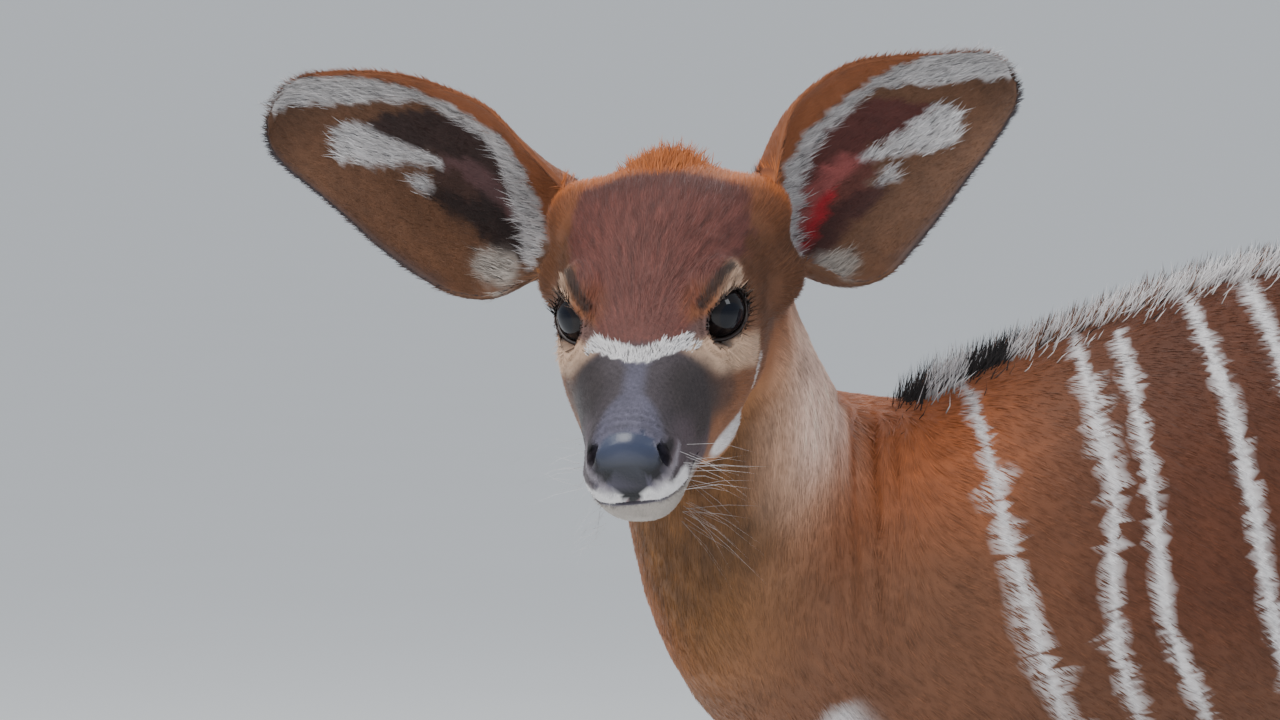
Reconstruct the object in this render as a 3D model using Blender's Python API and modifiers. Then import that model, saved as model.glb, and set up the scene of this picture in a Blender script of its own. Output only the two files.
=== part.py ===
"""A bongo calf, life-size, standing square with its head turned to its own left.

Metres, +Z up. The nose end of the trunk points towards -X and the left flank towards -Y.
The flesh is lofted whole, fused, and parted with thin cuts into head, neck, torso, tail and legs.
"""
import math
import random

import bmesh
import bpy
import numpy as np
from mathutils import Matrix, Vector

# Touching pieces keep this gap
GAP = 0.0003

# Triangles of the flesh after it is thinned evenly, and after all of it but the head is thinned again
FIRST_TRIANGLES = 20000
FLESH_TRIANGLES = 6300

# Trunk stations: distance back, top line, widest line, belly line, half width
TRUNK = [
    (0.018, 0.480, 0.455, 0.430, 0.020),
    (0.036, 0.522, 0.458, 0.396, 0.045),
    (0.075, 0.538, 0.458, 0.372, 0.064),
    (0.125, 0.556, 0.460, 0.356, 0.077),
    (0.180, 0.594, 0.460, 0.350, 0.083),
    (0.240, 0.620, 0.465, 0.350, 0.089),
    (0.330, 0.652, 0.480, 0.358, 0.094),
    (0.430, 0.668, 0.495, 0.380, 0.087),
    (0.520, 0.668, 0.520, 0.412, 0.074),
    (0.590, 0.660, 0.535, 0.432, 0.074),
    (0.640, 0.643, 0.540, 0.450, 0.070),
    (0.670, 0.618, 0.545, 0.480, 0.052),
    (0.684, 0.590, 0.550, 0.515, 0.026),
]

# Neck stations: centre x, y, z, half width, half depth
NECK = [
    (0.190, 0.000, 0.470, 0.052, 0.080),
    (0.145, -0.002, 0.478, 0.066, 0.096),
    (0.097, -0.010, 0.493, 0.074, 0.110),
    (0.063, -0.036, 0.528, 0.069, 0.090),
    (0.051, -0.070, 0.570, 0.067, 0.070),
    (0.041, -0.096, 0.625, 0.054, 0.056),
    (0.034, -0.106, 0.668, 0.046, 0.048),
]

# Fore leg and hind leg stations: x, y, z, half width, half depth
FORE_LEG = [
    (0.165, 0.052, 0.450, 0.030, 0.058),
    (0.182, 0.056, 0.385, 0.026, 0.040),
    (0.188, 0.057, 0.320, 0.0195, 0.027),
    (0.188, 0.056, 0.262, 0.0160, 0.0195),
    (0.184, 0.056, 0.218, 0.0175, 0.0200),
    (0.187, 0.056, 0.182, 0.0125, 0.0135),
    (0.188, 0.056, 0.120, 0.0110, 0.0125),
    (0.188, 0.056, 0.082, 0.0150, 0.0165),
    (0.180, 0.056, 0.055, 0.0135, 0.0135),
    (0.168, 0.056, 0.026, 0.0150, 0.0165),
    (0.164, 0.056, 0.008, 0.0120, 0.0130),
]
HIND_LEG = [
    (0.600, 0.050, 0.545, 0.034, 0.075),
    (0.588, 0.057, 0.470, 0.034, 0.068),
    (0.576, 0.060, 0.410, 0.029, 0.052),
    (0.594, 0.061, 0.350, 0.0215, 0.034),
    (0.622, 0.061, 0.305, 0.0150, 0.0215),
    (0.642, 0.061, 0.268, 0.0165, 0.0215),
    (0.644, 0.061, 0.228, 0.0130, 0.0165),
    (0.639, 0.061, 0.150, 0.0115, 0.0130),
    (0.636, 0.061, 0.092, 0.0155, 0.0170),
    (0.626, 0.061, 0.060, 0.0135, 0.0140),
    (0.612, 0.061, 0.027, 0.0150, 0.0165),
    (0.607, 0.061, 0.008, 0.0120, 0.0130),
]
# The upper legs are lofted this much fuller, because softening the joins draws them in
UPPER_FULL = 1.10
# How far each leg stands ahead (-) or behind (+) of square: left fore, right fore, left hind, right hind
STAGGER = {"front_left": -0.010, "front_right": 0.022, "hind_left": 0.016, "hind_right": -0.022}

# Tail stations: x, y, z, half width, half depth
TAIL = [
    (0.655, 0.0, 0.615, 0.016, 0.014),
    (0.684, 0.0, 0.612, 0.0125, 0.0115),
    (0.708, 0.0, 0.594, 0.0100, 0.0095),
    (0.720, 0.0, 0.555, 0.0085, 0.0080),
    (0.722, 0.0, 0.500, 0.0075, 0.0070),
    (0.718, 0.0, 0.440, 0.0065, 0.0060),
    (0.715, 0.0, 0.405, 0.0040, 0.0040),
]

# The flesh is parted here: a point on each cut, its normal and its reach
NECK_TOP = Vector((0.042, -0.1125, 0.645))
NECK_TOP_NORMAL = (0.06, 0.905, -0.424)
NECK_BASE = Vector((0.090, -0.022, 0.520))
NECK_BASE_NORMAL = (-0.79, -0.08, 0.61)
TAIL_ROOT = Vector((0.7105, 0.0, 0.5905))
TAIL_ROOT_NORMAL = (0.55, 0.0, -0.83)
FORE_CUT = 0.333
HIND_CUT = 0.372

# The head's own frame stands midway between the eyeballs
HEAD_PLACE = Vector((0.006, -0.190, 0.641))
HEAD_YAW = math.radians(9.5)
HEAD_PITCH = math.radians(29.0)
HEAD_ROLL = math.radians(2.4)

# Head stations: forward, top line, widest line, jaw line, half width
HEAD = [
    (0.1150, -0.026, -0.036, -0.048, 0.012),
    (0.1110, -0.018, -0.039, -0.062, 0.0215),
    (0.1000, -0.011, -0.041, -0.075, 0.0270),
    (0.0820, -0.006, -0.041, -0.077, 0.0300),
    (0.0580, 0.000, -0.036, -0.077, 0.0370),
    (0.0350, 0.009, -0.031, -0.078, 0.0460),
    (0.0130, 0.019, -0.025, -0.080, 0.0535),
    (-0.0100, 0.029, -0.021, -0.084, 0.0570),
    (-0.0400, 0.039, -0.013, -0.087, 0.0600),
    (-0.0700, 0.044, -0.004, -0.082, 0.0590),
    (-0.0950, 0.041, 0.004, -0.067, 0.0535),
    (-0.1140, 0.028, 0.002, -0.042, 0.0390),
    (-0.1240, 0.010, -0.004, -0.018, 0.0180),
]

# Eyeballs: place across, ahead and up in the head's frame
EYE_ACROSS = 0.0365
EYE_RADIUS = 0.0165
EYE_TURN = math.radians(46.0)
EYE_LIFT = math.radians(9.0)
LID = 0.0032
SLIT_LENGTH = 0.0340
SLIT_HEIGHT = 0.0222
SLIT_TILT = math.radians(-14.0)

# Ear stations: share of the length, half width, drop of the middle, half of the arc that the cup wraps
EAR_LENGTH = {"left": 0.171, "right": 0.178}
EAR_WALL = 0.0024
EAR_SIDES = 10
EAR = {
    "left": [
        (-0.12, 0.020, 0.0000, 140),
        (0.00, 0.028, 0.0030, 122),
        (0.09, 0.0435, 0.0045, 100),
        (0.20, 0.0545, 0.0000, 84),
        (0.35, 0.0552, -0.0045, 73),
        (0.50, 0.0505, -0.0070, 65),
        (0.65, 0.0410, -0.0060, 58),
        (0.78, 0.0318, -0.0038, 52),
        (0.89, 0.0235, -0.0030, 46),
        (0.95, 0.0175, -0.0020, 42),
        (0.985, 0.0105, -0.0010, 40),
        (1.00, 0.0045, -0.0005, 40),
    ],
    "right": [
        (-0.12, 0.020, 0.0000, 140),
        (0.00, 0.029, 0.0015, 122),
        (0.09, 0.0395, 0.0075, 100),
        (0.20, 0.0480, 0.0078, 84),
        (0.35, 0.0535, 0.0018, 73),
        (0.50, 0.0510, -0.0016, 65),
        (0.65, 0.0448, -0.0042, 58),
        (0.78, 0.0372, -0.0036, 52),
        (0.89, 0.0295, -0.0015, 46),
        (0.95, 0.0225, -0.0005, 42),
        (0.985, 0.0140, 0.0000, 40),
        (1.00, 0.0060, 0.0000, 40),
    ],
}
EAR_ROOT_SIZE = 0.0190
EAR_ROOT = {"left": (-0.083, 0.070, 0.005), "right": (-0.083, -0.067, 0.003)}
EAR_AIM = {"left": (0.700, 0.42, 0.450), "right": (-0.905, 0.10, 0.400)}
EAR_FACE = {"left": (0.10, -1.0, -0.10), "right": (-0.12, -1.0, -0.22)}

# Hooves
CORONET = 0.024
CORONET_SLOPE = math.radians(14.0)
CLAW_LENGTH = 0.046
CLAW_WIDTH = 0.0165
CLEFT = 0.0022

# A lock of hair along its length: share of the length, share of its width, share of its thickness
LOCK = [
    (-0.30, 0.70, 1.00),
    (0.05, 1.00, 1.00),
    (0.40, 0.82, 0.80),
    (0.74, 0.44, 0.60),
    (1.00, 0.05, 0.20),
]

# Crest along the back: where it starts and ends, and its locks
CREST_START = 0.142
CREST_END = 0.655
CREST_COUNT = 26
CREST_LENGTH = 0.0185
CREST_FRONT_RISE = 0.45
CREST_WIDTH = 0.0205
CREST_THICK = 0.0022
CREST_LEAN = math.radians(24.0)

# Forelock on the crown
FORELOCK_COUNT = 9
FORELOCK_LENGTH = 0.0215
FORELOCK_WIDTH = 0.0155

# Tuft at the end of the tail
TUFT_TOP = 0.452
TUFT_COUNT = 10
TUFT_LENGTH = 0.082
TUFT_WIDTH = 0.0165
TUFT_THICK = 0.0026

COLOURS = {
    "coat": (0.30, 0.115, 0.045),
    "eye": (0.010, 0.012, 0.016),
    "hoof": (0.045, 0.040, 0.038),
}


# Clear the scene and make the collections
def start():
    for old in list(bpy.data.objects):
        bpy.data.objects.remove(old, do_unlink=True)
    part = bpy.data.collections.new("bongo_calf")
    bpy.context.scene.collection.children.link(part)
    return part


# Materials
def material(name):
    made = bpy.data.materials.get(name)
    if made is None:
        made = bpy.data.materials.new(name)
        made.use_nodes = True
        shader = made.node_tree.nodes["Principled BSDF"]
        shader.inputs["Base Color"].default_value = (*COLOURS[name], 1.0)
        shader.inputs["Metallic"].default_value = 0.0
        shader.inputs["Roughness"].default_value = 0.15 if name == "eye" else 0.85
    return made


# Object from a bmesh
def make(name, bm):
    mesh = bpy.data.meshes.new(name)
    bmesh.ops.recalc_face_normals(bm, faces=bm.faces)
    bm.to_mesh(mesh)
    bm.free()
    made = bpy.data.objects.new(name, mesh)
    bpy.context.scene.collection.objects.link(made)
    return made


# Rows of numbers read along a smooth curve through the given rows
def smooth_rows(rows, count):
    rows = np.array(rows, float)
    steps = np.linalg.norm(np.diff(rows[:, :3], axis=0), axis=1)
    place = np.concatenate([[0.0], np.cumsum(steps)])
    slopes = np.gradient(rows, place, axis=0)
    out = []
    for at in np.linspace(0.0, place[-1], count):
        i = min(int(np.searchsorted(place, at, side="right")) - 1, len(rows) - 2)
        span = place[i + 1] - place[i]
        t = (at - place[i]) / span
        a = 2 * t**3 - 3 * t**2 + 1
        b = t**3 - 2 * t**2 + t
        c = -2 * t**3 + 3 * t**2
        d = t**3 - t**2
        out.append(a * rows[i] + b * span * slopes[i] + c * rows[i + 1] + d * span * slopes[i + 1])
    return out


# One egg-shaped section: its rise above the widest line and its drop below it
def section(centre, side, up, half_width, rise, drop, power, sides):
    points = []
    for k in range(sides):
        angle = 2 * math.pi * k / sides
        c, s = math.cos(angle), math.sin(angle)
        across = math.copysign(abs(c) ** (2 / power), c) * half_width
        height = math.copysign(abs(s) ** (2 / power), s) * (rise if s > 0 else drop)
        points.append(centre + side * across + up * height)
    return points


# Closed skin over a row of sections
def loft(name, rings):
    bm = bmesh.new()
    rows = [[bm.verts.new(p) for p in ring] for ring in rings]
    count = len(rows[0])
    for near, far in zip(rows, rows[1:]):
        for k in range(count):
            n = (k + 1) % count
            bm.faces.new((near[k], near[n], far[n], far[k]))
    bm.faces.new(rows[0])
    bm.faces.new(rows[-1])
    return make(name, bm)


# A trunk or head: stations along one straight axis
def barrel(name, stations, origin, forward, side, up, power, rows=40, sides=32):
    rings = []
    for at, top, middle, bottom, half in smooth_rows(stations, rows):
        centre = origin + forward * at + up * middle
        rings.append(section(centre, side, up, half, top - middle, middle - bottom, power, sides))
    return loft(name, rings)


# A neck, leg or tail: stations along a bent path
def limb(name, stations, reference, rows=36, sides=20):
    path = smooth_rows(stations, rows)
    rings = []
    for i, row in enumerate(path):
        ahead = path[min(i + 1, rows - 1)][:3] - path[max(i - 1, 0)][:3]
        along = Vector(ahead).normalized()
        side = along.cross(reference).normalized()
        deep = side.cross(along)
        rings.append(section(Vector(row[:3]), side, deep, row[3], row[4], row[4], 2.0, sides))
    return loft(name, rings)


# An ellipsoid
def ball(name, centre, sizes, axes=None, rings=16, segments=24):
    bm = bmesh.new()
    bmesh.ops.create_uvsphere(bm, u_segments=segments, v_segments=rings, radius=1.0)
    turn = Matrix.Identity(3) if axes is None else Matrix(axes).transposed()
    grow = Matrix.Diagonal(sizes)
    bmesh.ops.transform(bm, matrix=Matrix.Translation(centre) @ (turn @ grow).to_4x4(), verts=bm.verts)
    return make(name, bm)


# A thin round plate that parts the flesh
def plate(centre, normal, radius):
    bm = bmesh.new()
    bmesh.ops.create_cone(bm, cap_ends=True, segments=24, radius1=radius, radius2=radius, depth=GAP)
    turn = Vector(normal).to_track_quat("Z", "Y").to_matrix().to_4x4()
    bmesh.ops.transform(bm, matrix=Matrix.Translation(Vector(centre)) @ turn, verts=bm.verts)
    return make("cutter", bm)


# The mesh as its modifiers leave it, with the modifiers removed
def apply(target):
    graph = bpy.context.evaluated_depsgraph_get()
    graph.update()
    mesh = bpy.data.meshes.new_from_object(target.evaluated_get(graph))
    target.modifiers.clear()
    target.data = mesh
    return target


# Many meshes in one object, still overlapping
def gather(name, pieces):
    bm = bmesh.new()
    for piece in pieces:
        bm.from_mesh(piece.data)
        bpy.data.objects.remove(piece)
    mesh = bpy.data.meshes.new(name)
    bm.to_mesh(mesh)
    bm.free()
    made = bpy.data.objects.new(name, mesh)
    bpy.context.scene.collection.objects.link(made)
    return made


# One skin round overlapping pieces, softened at the joins
def fuse(name, pieces, voxel, rounds):
    made = gather(name, pieces)
    skin = made.modifiers.new("skin", "REMESH")
    skin.mode = "VOXEL"
    skin.voxel_size = voxel
    soften = made.modifiers.new("soften", "SMOOTH")
    soften.factor = 0.5
    soften.iterations = rounds
    return apply(made)


# Boolean with one tool object or with several at once
def boolean(target, tools, operation, solver="EXACT"):
    group = bpy.data.collections.new("tools")
    bpy.context.scene.collection.children.link(group)
    for tool in tools:
        group.objects.link(tool)
        tool.hide_render = True
        tool.display_type = "WIRE"
    cut = target.modifiers.new("cut", "BOOLEAN")
    cut.operation = operation
    cut.operand_type = "COLLECTION"
    cut.collection = group
    cut.solver = solver
    apply(target)
    for tool in tools:
        bpy.data.objects.remove(tool)
    bpy.data.collections.remove(group)
    return target


# The separate closed surfaces of a mesh, each as a list of its faces' corner places
def islands(bm):
    left = set(bm.faces)
    found = []
    while left:
        seed = left.pop()
        group = [seed]
        edge = [seed]
        while edge:
            face = edge.pop()
            for side in face.edges:
                for other in side.link_faces:
                    if other in left:
                        left.discard(other)
                        group.append(other)
                        edge.append(other)
        found.append(group)
    return found


# Copy of some faces of a mesh as an object of its own
def lift(name, group):
    bm = bmesh.new()
    known = {}
    for face in group:
        corners = []
        for vert in face.verts:
            if vert not in known:
                known[vert] = bm.verts.new(vert.co)
            corners.append(known[vert])
        bm.faces.new(corners)
    return make(name, bm)


# Split an object into its separate surfaces, largest first
def split(target):
    bm = bmesh.new()
    bm.from_mesh(target.data)
    groups = sorted(islands(bm), key=len, reverse=True)
    made = [lift(target.name, group) for group in groups]
    bm.free()
    bpy.data.objects.remove(target)
    return made


# Keep only the largest closed surface
def largest(target, name):
    pieces = split(target)
    for scrap in pieces[1:]:
        bpy.data.objects.remove(scrap)
    pieces[0].name = name
    return pieces[0]


# The head's axes: ahead, to its left, up
def head_axes():
    ahead = Vector((
        -math.sin(HEAD_YAW) * math.cos(HEAD_PITCH),
        -math.cos(HEAD_YAW) * math.cos(HEAD_PITCH),
        -math.sin(HEAD_PITCH),
    ))
    left = Vector((0, 0, 1)).cross(ahead).normalized()
    up = ahead.cross(left)
    rolled = left * math.cos(HEAD_ROLL) + up * math.sin(HEAD_ROLL)
    return ahead, rolled, ahead.cross(rolled)


# A place given ahead, to the left and up in the head's frame
def on_head(ahead, left, up):
    forward, side, rise = head_axes()
    return HEAD_PLACE + forward * ahead + side * left + rise * up


# Leg stations moved to one side and staggered, the foot more than the shoulder
def leg_stations(stations, which):
    mirror = -1 if which.endswith("left") else 1
    top = stations[0][2]
    rows = []
    for x, y, z, half, deep in stations:
        share = 1 - z / top
        rows.append((x + STAGGER[which] * share, y * mirror, z, half, deep))
    return rows


LEGS = {
    "front_left": FORE_LEG,
    "front_right": FORE_LEG,
    "hind_left": HIND_LEG,
    "hind_right": HIND_LEG,
}


# Large masses of the body
def body_pieces():
    x_axis, y_axis, z_axis = Vector((1, 0, 0)), Vector((0, 1, 0)), Vector((0, 0, 1))
    pieces = [barrel("trunk", TRUNK, Vector(), x_axis, y_axis, z_axis, 2.2)]
    pieces.append(limb("neck", NECK, z_axis, sides=28))
    for sign in (-1, 1):
        pieces.append(ball("shoulder", Vector((0.150, 0.044 * sign, 0.455)), (0.070, 0.045, 0.094)))
        pieces.append(ball("haunch", Vector((0.606, 0.046 * sign, 0.525)), (0.080, 0.050, 0.112)))
    for which, stations in LEGS.items():
        rows = leg_stations(stations, which)
        thick = [(x, y, z, half * UPPER_FULL, deep * UPPER_FULL) for x, y, z, half, deep in rows[:6]]
        pieces.append(limb("upper_leg", thick, x_axis, rows=20))
    return pieces


# Muzzle, brows, cheeks and ear roots
def head_pieces():
    ahead, left, up = head_axes()
    axes = (left, ahead, up)
    pieces = [barrel("skull", HEAD, HEAD_PLACE, ahead, left, up, 2.35, rows=48, sides=36)]
    for sign in (-1, 1):
        eye, out, _ = eye_frame(sign)
        pieces.append(ball("lids", eye, (EYE_RADIUS + LID,) * 3))
        pieces.append(ball("brow", on_head(-0.010, 0.034 * sign, 0.012), (0.019, 0.024, 0.014), axes))
        pieces.append(ball("cheek", on_head(-0.034, 0.034 * sign, -0.040), (0.023, 0.046, 0.034), axes))
        pieces.append(ball("jaw", on_head(0.010, 0.027 * sign, -0.062), (0.0175, 0.040, 0.0210), axes))
        pieces.append(ball("lip", on_head(0.093, 0.0155 * sign, -0.045), (0.0140, 0.020, 0.0150), axes))
        pieces.append(ball("temple", on_head(-0.083, 0.048 * sign, 0.013), (0.024, 0.028, 0.022), axes))
        pieces.append(ball("ear_base", on_head(-0.066, 0.050 * sign, -0.018), (0.029, 0.026, 0.024), axes))
        aim, face, _, root = ear_frame("left" if sign > 0 else "right")
        pieces.append(ball("ear_root", root - aim * 0.020 - face * 0.013, (EAR_ROOT_SIZE,) * 3))
    return pieces


# Lower legs and dewclaws
def lower_leg_pieces():
    pieces = []
    for which, stations in LEGS.items():
        rows = leg_stations(stations, which)
        top = rows[2]
        sunk = [(*top[:3], top[3] * 0.5, top[4] * 0.5)] + rows[3:]
        pieces.append(limb("lower_leg", sunk, Vector((1, 0, 0)), rows=44))
        fetlock = rows[-4]
        for sign in (-1, 1):
            centre = Vector((fetlock[0] + 0.013, fetlock[1] + 0.0075 * sign, fetlock[2] - 0.014))
            pieces.append(ball("dewclaw", centre, (0.0058, 0.0046, 0.0085)))
    return pieces


# The whole flesh in one closed skin
def flesh():
    body = fuse("body", body_pieces(), 0.008, 14)
    tail = limb("tail", TAIL, Vector((0, 1, 0)), rows=30, sides=14)
    pieces = [body, tail] + head_pieces() + lower_leg_pieces()
    return fuse("flesh", pieces, 0.0030, 5)


# Fewer triangles
def thin_out(target, triangles, group=""):
    target.data.calc_loop_triangles()
    fewer = target.modifiers.new("fewer", "DECIMATE")
    fewer.ratio = triangles / len(target.data.loop_triangles)
    fewer.use_collapse_triangulate = True
    fewer.vertex_group = group
    return apply(target)


# Thin the whole body first, then all of it but the head
def thin_flesh(whole):
    thin_out(whole, FIRST_TRIANGLES)
    plain = whole.vertex_groups.new(name="plain")
    reach = (HEAD_PLACE - NECK_TOP).length
    plain.add([v.index for v in whole.data.vertices if (v.co - HEAD_PLACE).length > reach], 1.0, "REPLACE")
    return thin_out(whole, FLESH_TRIANGLES, "plain")


# One eye's place and axes: centre, out, along the slit
def eye_frame(sign):
    ahead, left, up = head_axes()
    centre = on_head(0.0, EYE_ACROSS * sign, 0.0)
    out = ahead * math.cos(EYE_TURN) + left * (math.sin(EYE_TURN) * sign)
    out = (out * math.cos(EYE_LIFT) + up * math.sin(EYE_LIFT)).normalized()
    along = (ahead - out * ahead.dot(out)).normalized()
    upright = (up - out * up.dot(out) - along * up.dot(along)).normalized()
    slit = along * math.cos(SLIT_TILT) + upright * math.sin(SLIT_TILT)
    return centre, out, slit


# Almond-shaped prism that opens the lids
def slit_cutter(sign):
    centre, out, slit = eye_frame(sign)
    upright = out.cross(slit).normalized()
    outline = []
    for k in range(20):
        angle = 2 * math.pi * k / 20
        across = math.cos(angle) * SLIT_LENGTH / 2
        height = math.copysign(abs(math.sin(angle)) ** 1.15, math.sin(angle)) * SLIT_HEIGHT / 2
        outline.append(slit * across + upright * height)
    near = [centre + out * 0.002 + p for p in outline]
    far = [centre + out * 0.040 + p * 1.25 for p in outline]
    return loft("slit", [near, far])


# Thin curved wedge that opens the line of the mouth
def mouth_cutter():
    ahead, left, up = head_axes()
    rings = []
    for k in range(25):
        angle = math.radians(-100 + 200 * k / 24)
        out = ahead * math.cos(angle) + left * math.sin(angle)
        place = on_head(0.079, 0, -0.0530 + 0.0015 * math.sin(angle) ** 2 + 0.0030 * math.sin(angle))
        reach = 0.0250 + 0.0095 * math.cos(angle) ** 2
        front = place + out * (reach + 0.014)
        back = place + out * (reach - 0.003)
        rings.append([front + up * 0.0012, front - up * 0.0012, back - up * 0.0003, back + up * 0.0003])
    return loft("mouth", rings)


# Nostril pockets, slanting outwards and back
def nostril_cutters():
    ahead, left, up = head_axes()
    cutters = []
    for sign in (-1, 1):
        deep = (ahead * 0.62 + left * sign * 0.78).normalized()
        thin = (ahead * 0.78 - left * sign * 0.62).normalized()
        place = on_head(0.1055, 0.0185 * sign, -0.0275)
        cutters.append(ball("nostril", place, (0.0070, 0.0044, 0.0084), (deep, thin, up), 8, 12))
    return cutters


# Part the flesh into its nodes
def part_flesh(whole):
    plates = [
        plate(NECK_TOP, NECK_TOP_NORMAL, 0.125),
        plate(NECK_BASE, NECK_BASE_NORMAL, 0.122),
        plate(TAIL_ROOT, TAIL_ROOT_NORMAL, 0.017),
    ]
    for which in LEGS:
        level, size = (FORE_CUT, 0.052) if which.startswith("front") else (HIND_CUT, 0.062)
        rows = smooth_rows(leg_stations(LEGS[which], which), 200)
        near = min(rows, key=lambda row: abs(row[2] - level))
        plates.append(plate((near[0], near[1], level), (0, 0, 1), size))
    boolean(whole, [gather("plates", plates)], "DIFFERENCE")
    return split(whole)


# Name the parted pieces by where their middles lie
def name_pieces(pieces):
    marks = {
        "head": HEAD_PLACE, "neck": Vector((0.075, -0.06, 0.57)), "torso": Vector((0.36, 0, 0.51)),
        "tail": Vector((0.72, 0, 0.49)),
        "leg_front_left": Vector((0.18, -0.056, 0.17)), "leg_front_right": Vector((0.20, 0.056, 0.17)),
        "leg_hind_left": Vector((0.63, -0.06, 0.19)), "leg_hind_right": Vector((0.60, 0.06, 0.19)),
    }
    nodes = {}
    for piece in pieces:
        corners = [Vector(v.co) for v in piece.data.vertices]
        middle = sum(corners, Vector()) / len(corners)
        name = min(marks, key=lambda key: (marks[key] - middle).length)
        if name in nodes:
            bpy.data.objects.remove(piece)
            continue
        piece.name = name
        nodes[name] = piece
    return nodes


# One ear's axes and root: along it, out of its opening, across it
def ear_frame(which):
    aim = Vector(EAR_AIM[which]).normalized()
    face = Vector(EAR_FACE[which])
    face = (face - aim * face.dot(aim)).normalized()
    return aim, face, aim.cross(face).normalized(), on_head(*EAR_ROOT[which])


# An ear: an open cup, thickened
def ear(which):
    aim, face, wide, root = ear_frame(which)
    lower = -1 if wide.z > 0 else 1
    bm = bmesh.new()
    rows = []
    for share, half, drop, wrap in smooth_rows([(s, h, d, w / 1000) for s, h, d, w in EAR[which]], 15):
        arc = math.radians(wrap * 1000)
        radius = half / math.sin(min(arc, math.pi / 2))
        middle = root + aim * (EAR_LENGTH[which] * share) + face * (radius * math.cos(arc))
        middle += wide * (lower * drop)
        row = []
        for k in range(EAR_SIDES + 1):
            angle = arc * (2 * k / EAR_SIDES - 1)
            across = wide * (radius * math.sin(angle))
            row.append(bm.verts.new(middle + across - face * (radius * math.cos(angle))))
        rows.append(row)
    for near, far in zip(rows, rows[1:]):
        for k in range(EAR_SIDES):
            bm.faces.new((near[k], near[k + 1], far[k + 1], far[k]))
    made = make("ear_" + which, bm)
    wall = made.modifiers.new("wall", "SOLIDIFY")
    wall.thickness = EAR_WALL
    wall.offset = 0.0
    wall.use_even_offset = True
    return apply(made)


# A copy of an object grown by the gap
def grown(target, amount):
    bm = bmesh.new()
    bm.from_mesh(target.data)
    bm.normal_update()
    for vert in bm.verts:
        vert.co += vert.normal * amount
    return make("grown", bm)


# One claw of a hoof: flat sole, sloping toe, upright heel
def claw(which, side, middle):
    rings = []
    for step in range(6):
        share = step / 5
        height = share * (CORONET + 0.010)
        length = CLAW_LENGTH * (1 - 0.26 * share)
        width = CLAW_WIDTH * (1 - 0.20 * share)
        centre = middle[0] - 0.0085 * (1 - share)
        ring = []
        for k in range(16):
            angle = 2 * math.pi * k / 16
            c, s = math.cos(angle), math.sin(angle)
            taper = 1 - 0.30 * (0.5 - 0.5 * c) ** 2
            across = (1 + s * taper) * width / 2 if side > 0 else (-1 + s * taper) * width / 2
            ring.append(Vector((centre + c * length / 2, middle[1] + across + side * CLEFT / 2, height)))
        rings.append(ring)
    return loft("hoof_" + which + ("_right" if side > 0 else "_left"), rings)


# Sloping half-space block above or below the coronet line of a foot
def coronet_block(middle, above, shift):
    bm = bmesh.new()
    bmesh.ops.create_cube(bm, size=0.12)
    lift_by = 0.06 if above else -0.06
    turn = Matrix.Rotation(CORONET_SLOPE, 4, "Y")
    place = Matrix.Translation(Vector((middle[0] - 0.010, middle[1], CORONET + shift)))
    lift = Matrix.Translation(Vector((0, 0, lift_by)))
    bmesh.ops.transform(bm, matrix=place @ turn @ lift, verts=bm.verts)
    return make("block", bm)


# Cut one foot at its coronet and set two claws under it
def feet(nodes):
    claws = {}
    for which, stations in LEGS.items():
        rows = leg_stations(stations, which)
        middle = rows[-2]
        leg = nodes["leg_" + which]
        boolean(leg, [coronet_block(middle, False, GAP / 2)], "DIFFERENCE")
        nodes["leg_" + which] = largest(leg, "leg_" + which)
        for side in (-1, 1):
            made = claw(which, side, middle)
            name = made.name
            boolean(made, [coronet_block(middle, True, -GAP / 2)], "DIFFERENCE")
            claws[name] = largest(made, name)
    return claws


# One flat tapered lock: root sunk below its start, bent along its lie, fine at the tip
def lock(root, aim, bend, face, length, width, thick):
    face = (face - aim * face.dot(aim)).normalized()
    side = aim.cross(face).normalized()
    rings = []
    for share, wide, deep in LOCK:
        middle = root + aim * (length * share) + bend * (length * max(share, 0.0) ** 2)
        across = side * (width * wide / 2)
        out = face * (thick * deep / 2)
        near, far = middle + across, middle - across
        rings.append([near + out, far + out, far - out, near - out])
    return loft("lock", rings)


# Bristly crest: two rows of overlapping locks leaning back along the spine
def crest():
    draw = random.Random(11)
    step = (CREST_END - CREST_START) / CREST_COUNT
    locks = []
    for row in (-1, 1):
        for i in range(CREST_COUNT):
            share = (i + (0.25 if row < 0 else 0.75)) / CREST_COUNT
            x = CREST_START + step * CREST_COUNT * share + draw.uniform(-0.15, 0.15) * step
            lean = CREST_LEAN * draw.uniform(0.6, 1.4)
            splay = row * draw.uniform(0.05, 0.22)
            aim = Vector((math.sin(lean), splay, math.cos(lean))).normalized()
            fade = min(0.75 + 4.0 * share, 1.0, 0.35 + 3.0 * (1.0 - share))
            fade += CREST_FRONT_RISE * math.exp(-(share / 0.07) ** 2)
            root = Vector((x, row * 0.0026, back_line(x) - 0.0035))
            bend = Vector((0.28, splay * 0.5, -0.10)) * draw.uniform(0.6, 1.3)
            length = CREST_LENGTH * fade * draw.uniform(0.86, 1.16)
            locks.append(lock(root, aim, bend, Vector((0.10 * row, 1.0, 0.0)), length,
                              CREST_WIDTH * draw.uniform(0.85, 1.15), CREST_THICK))
    return locks


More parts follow.
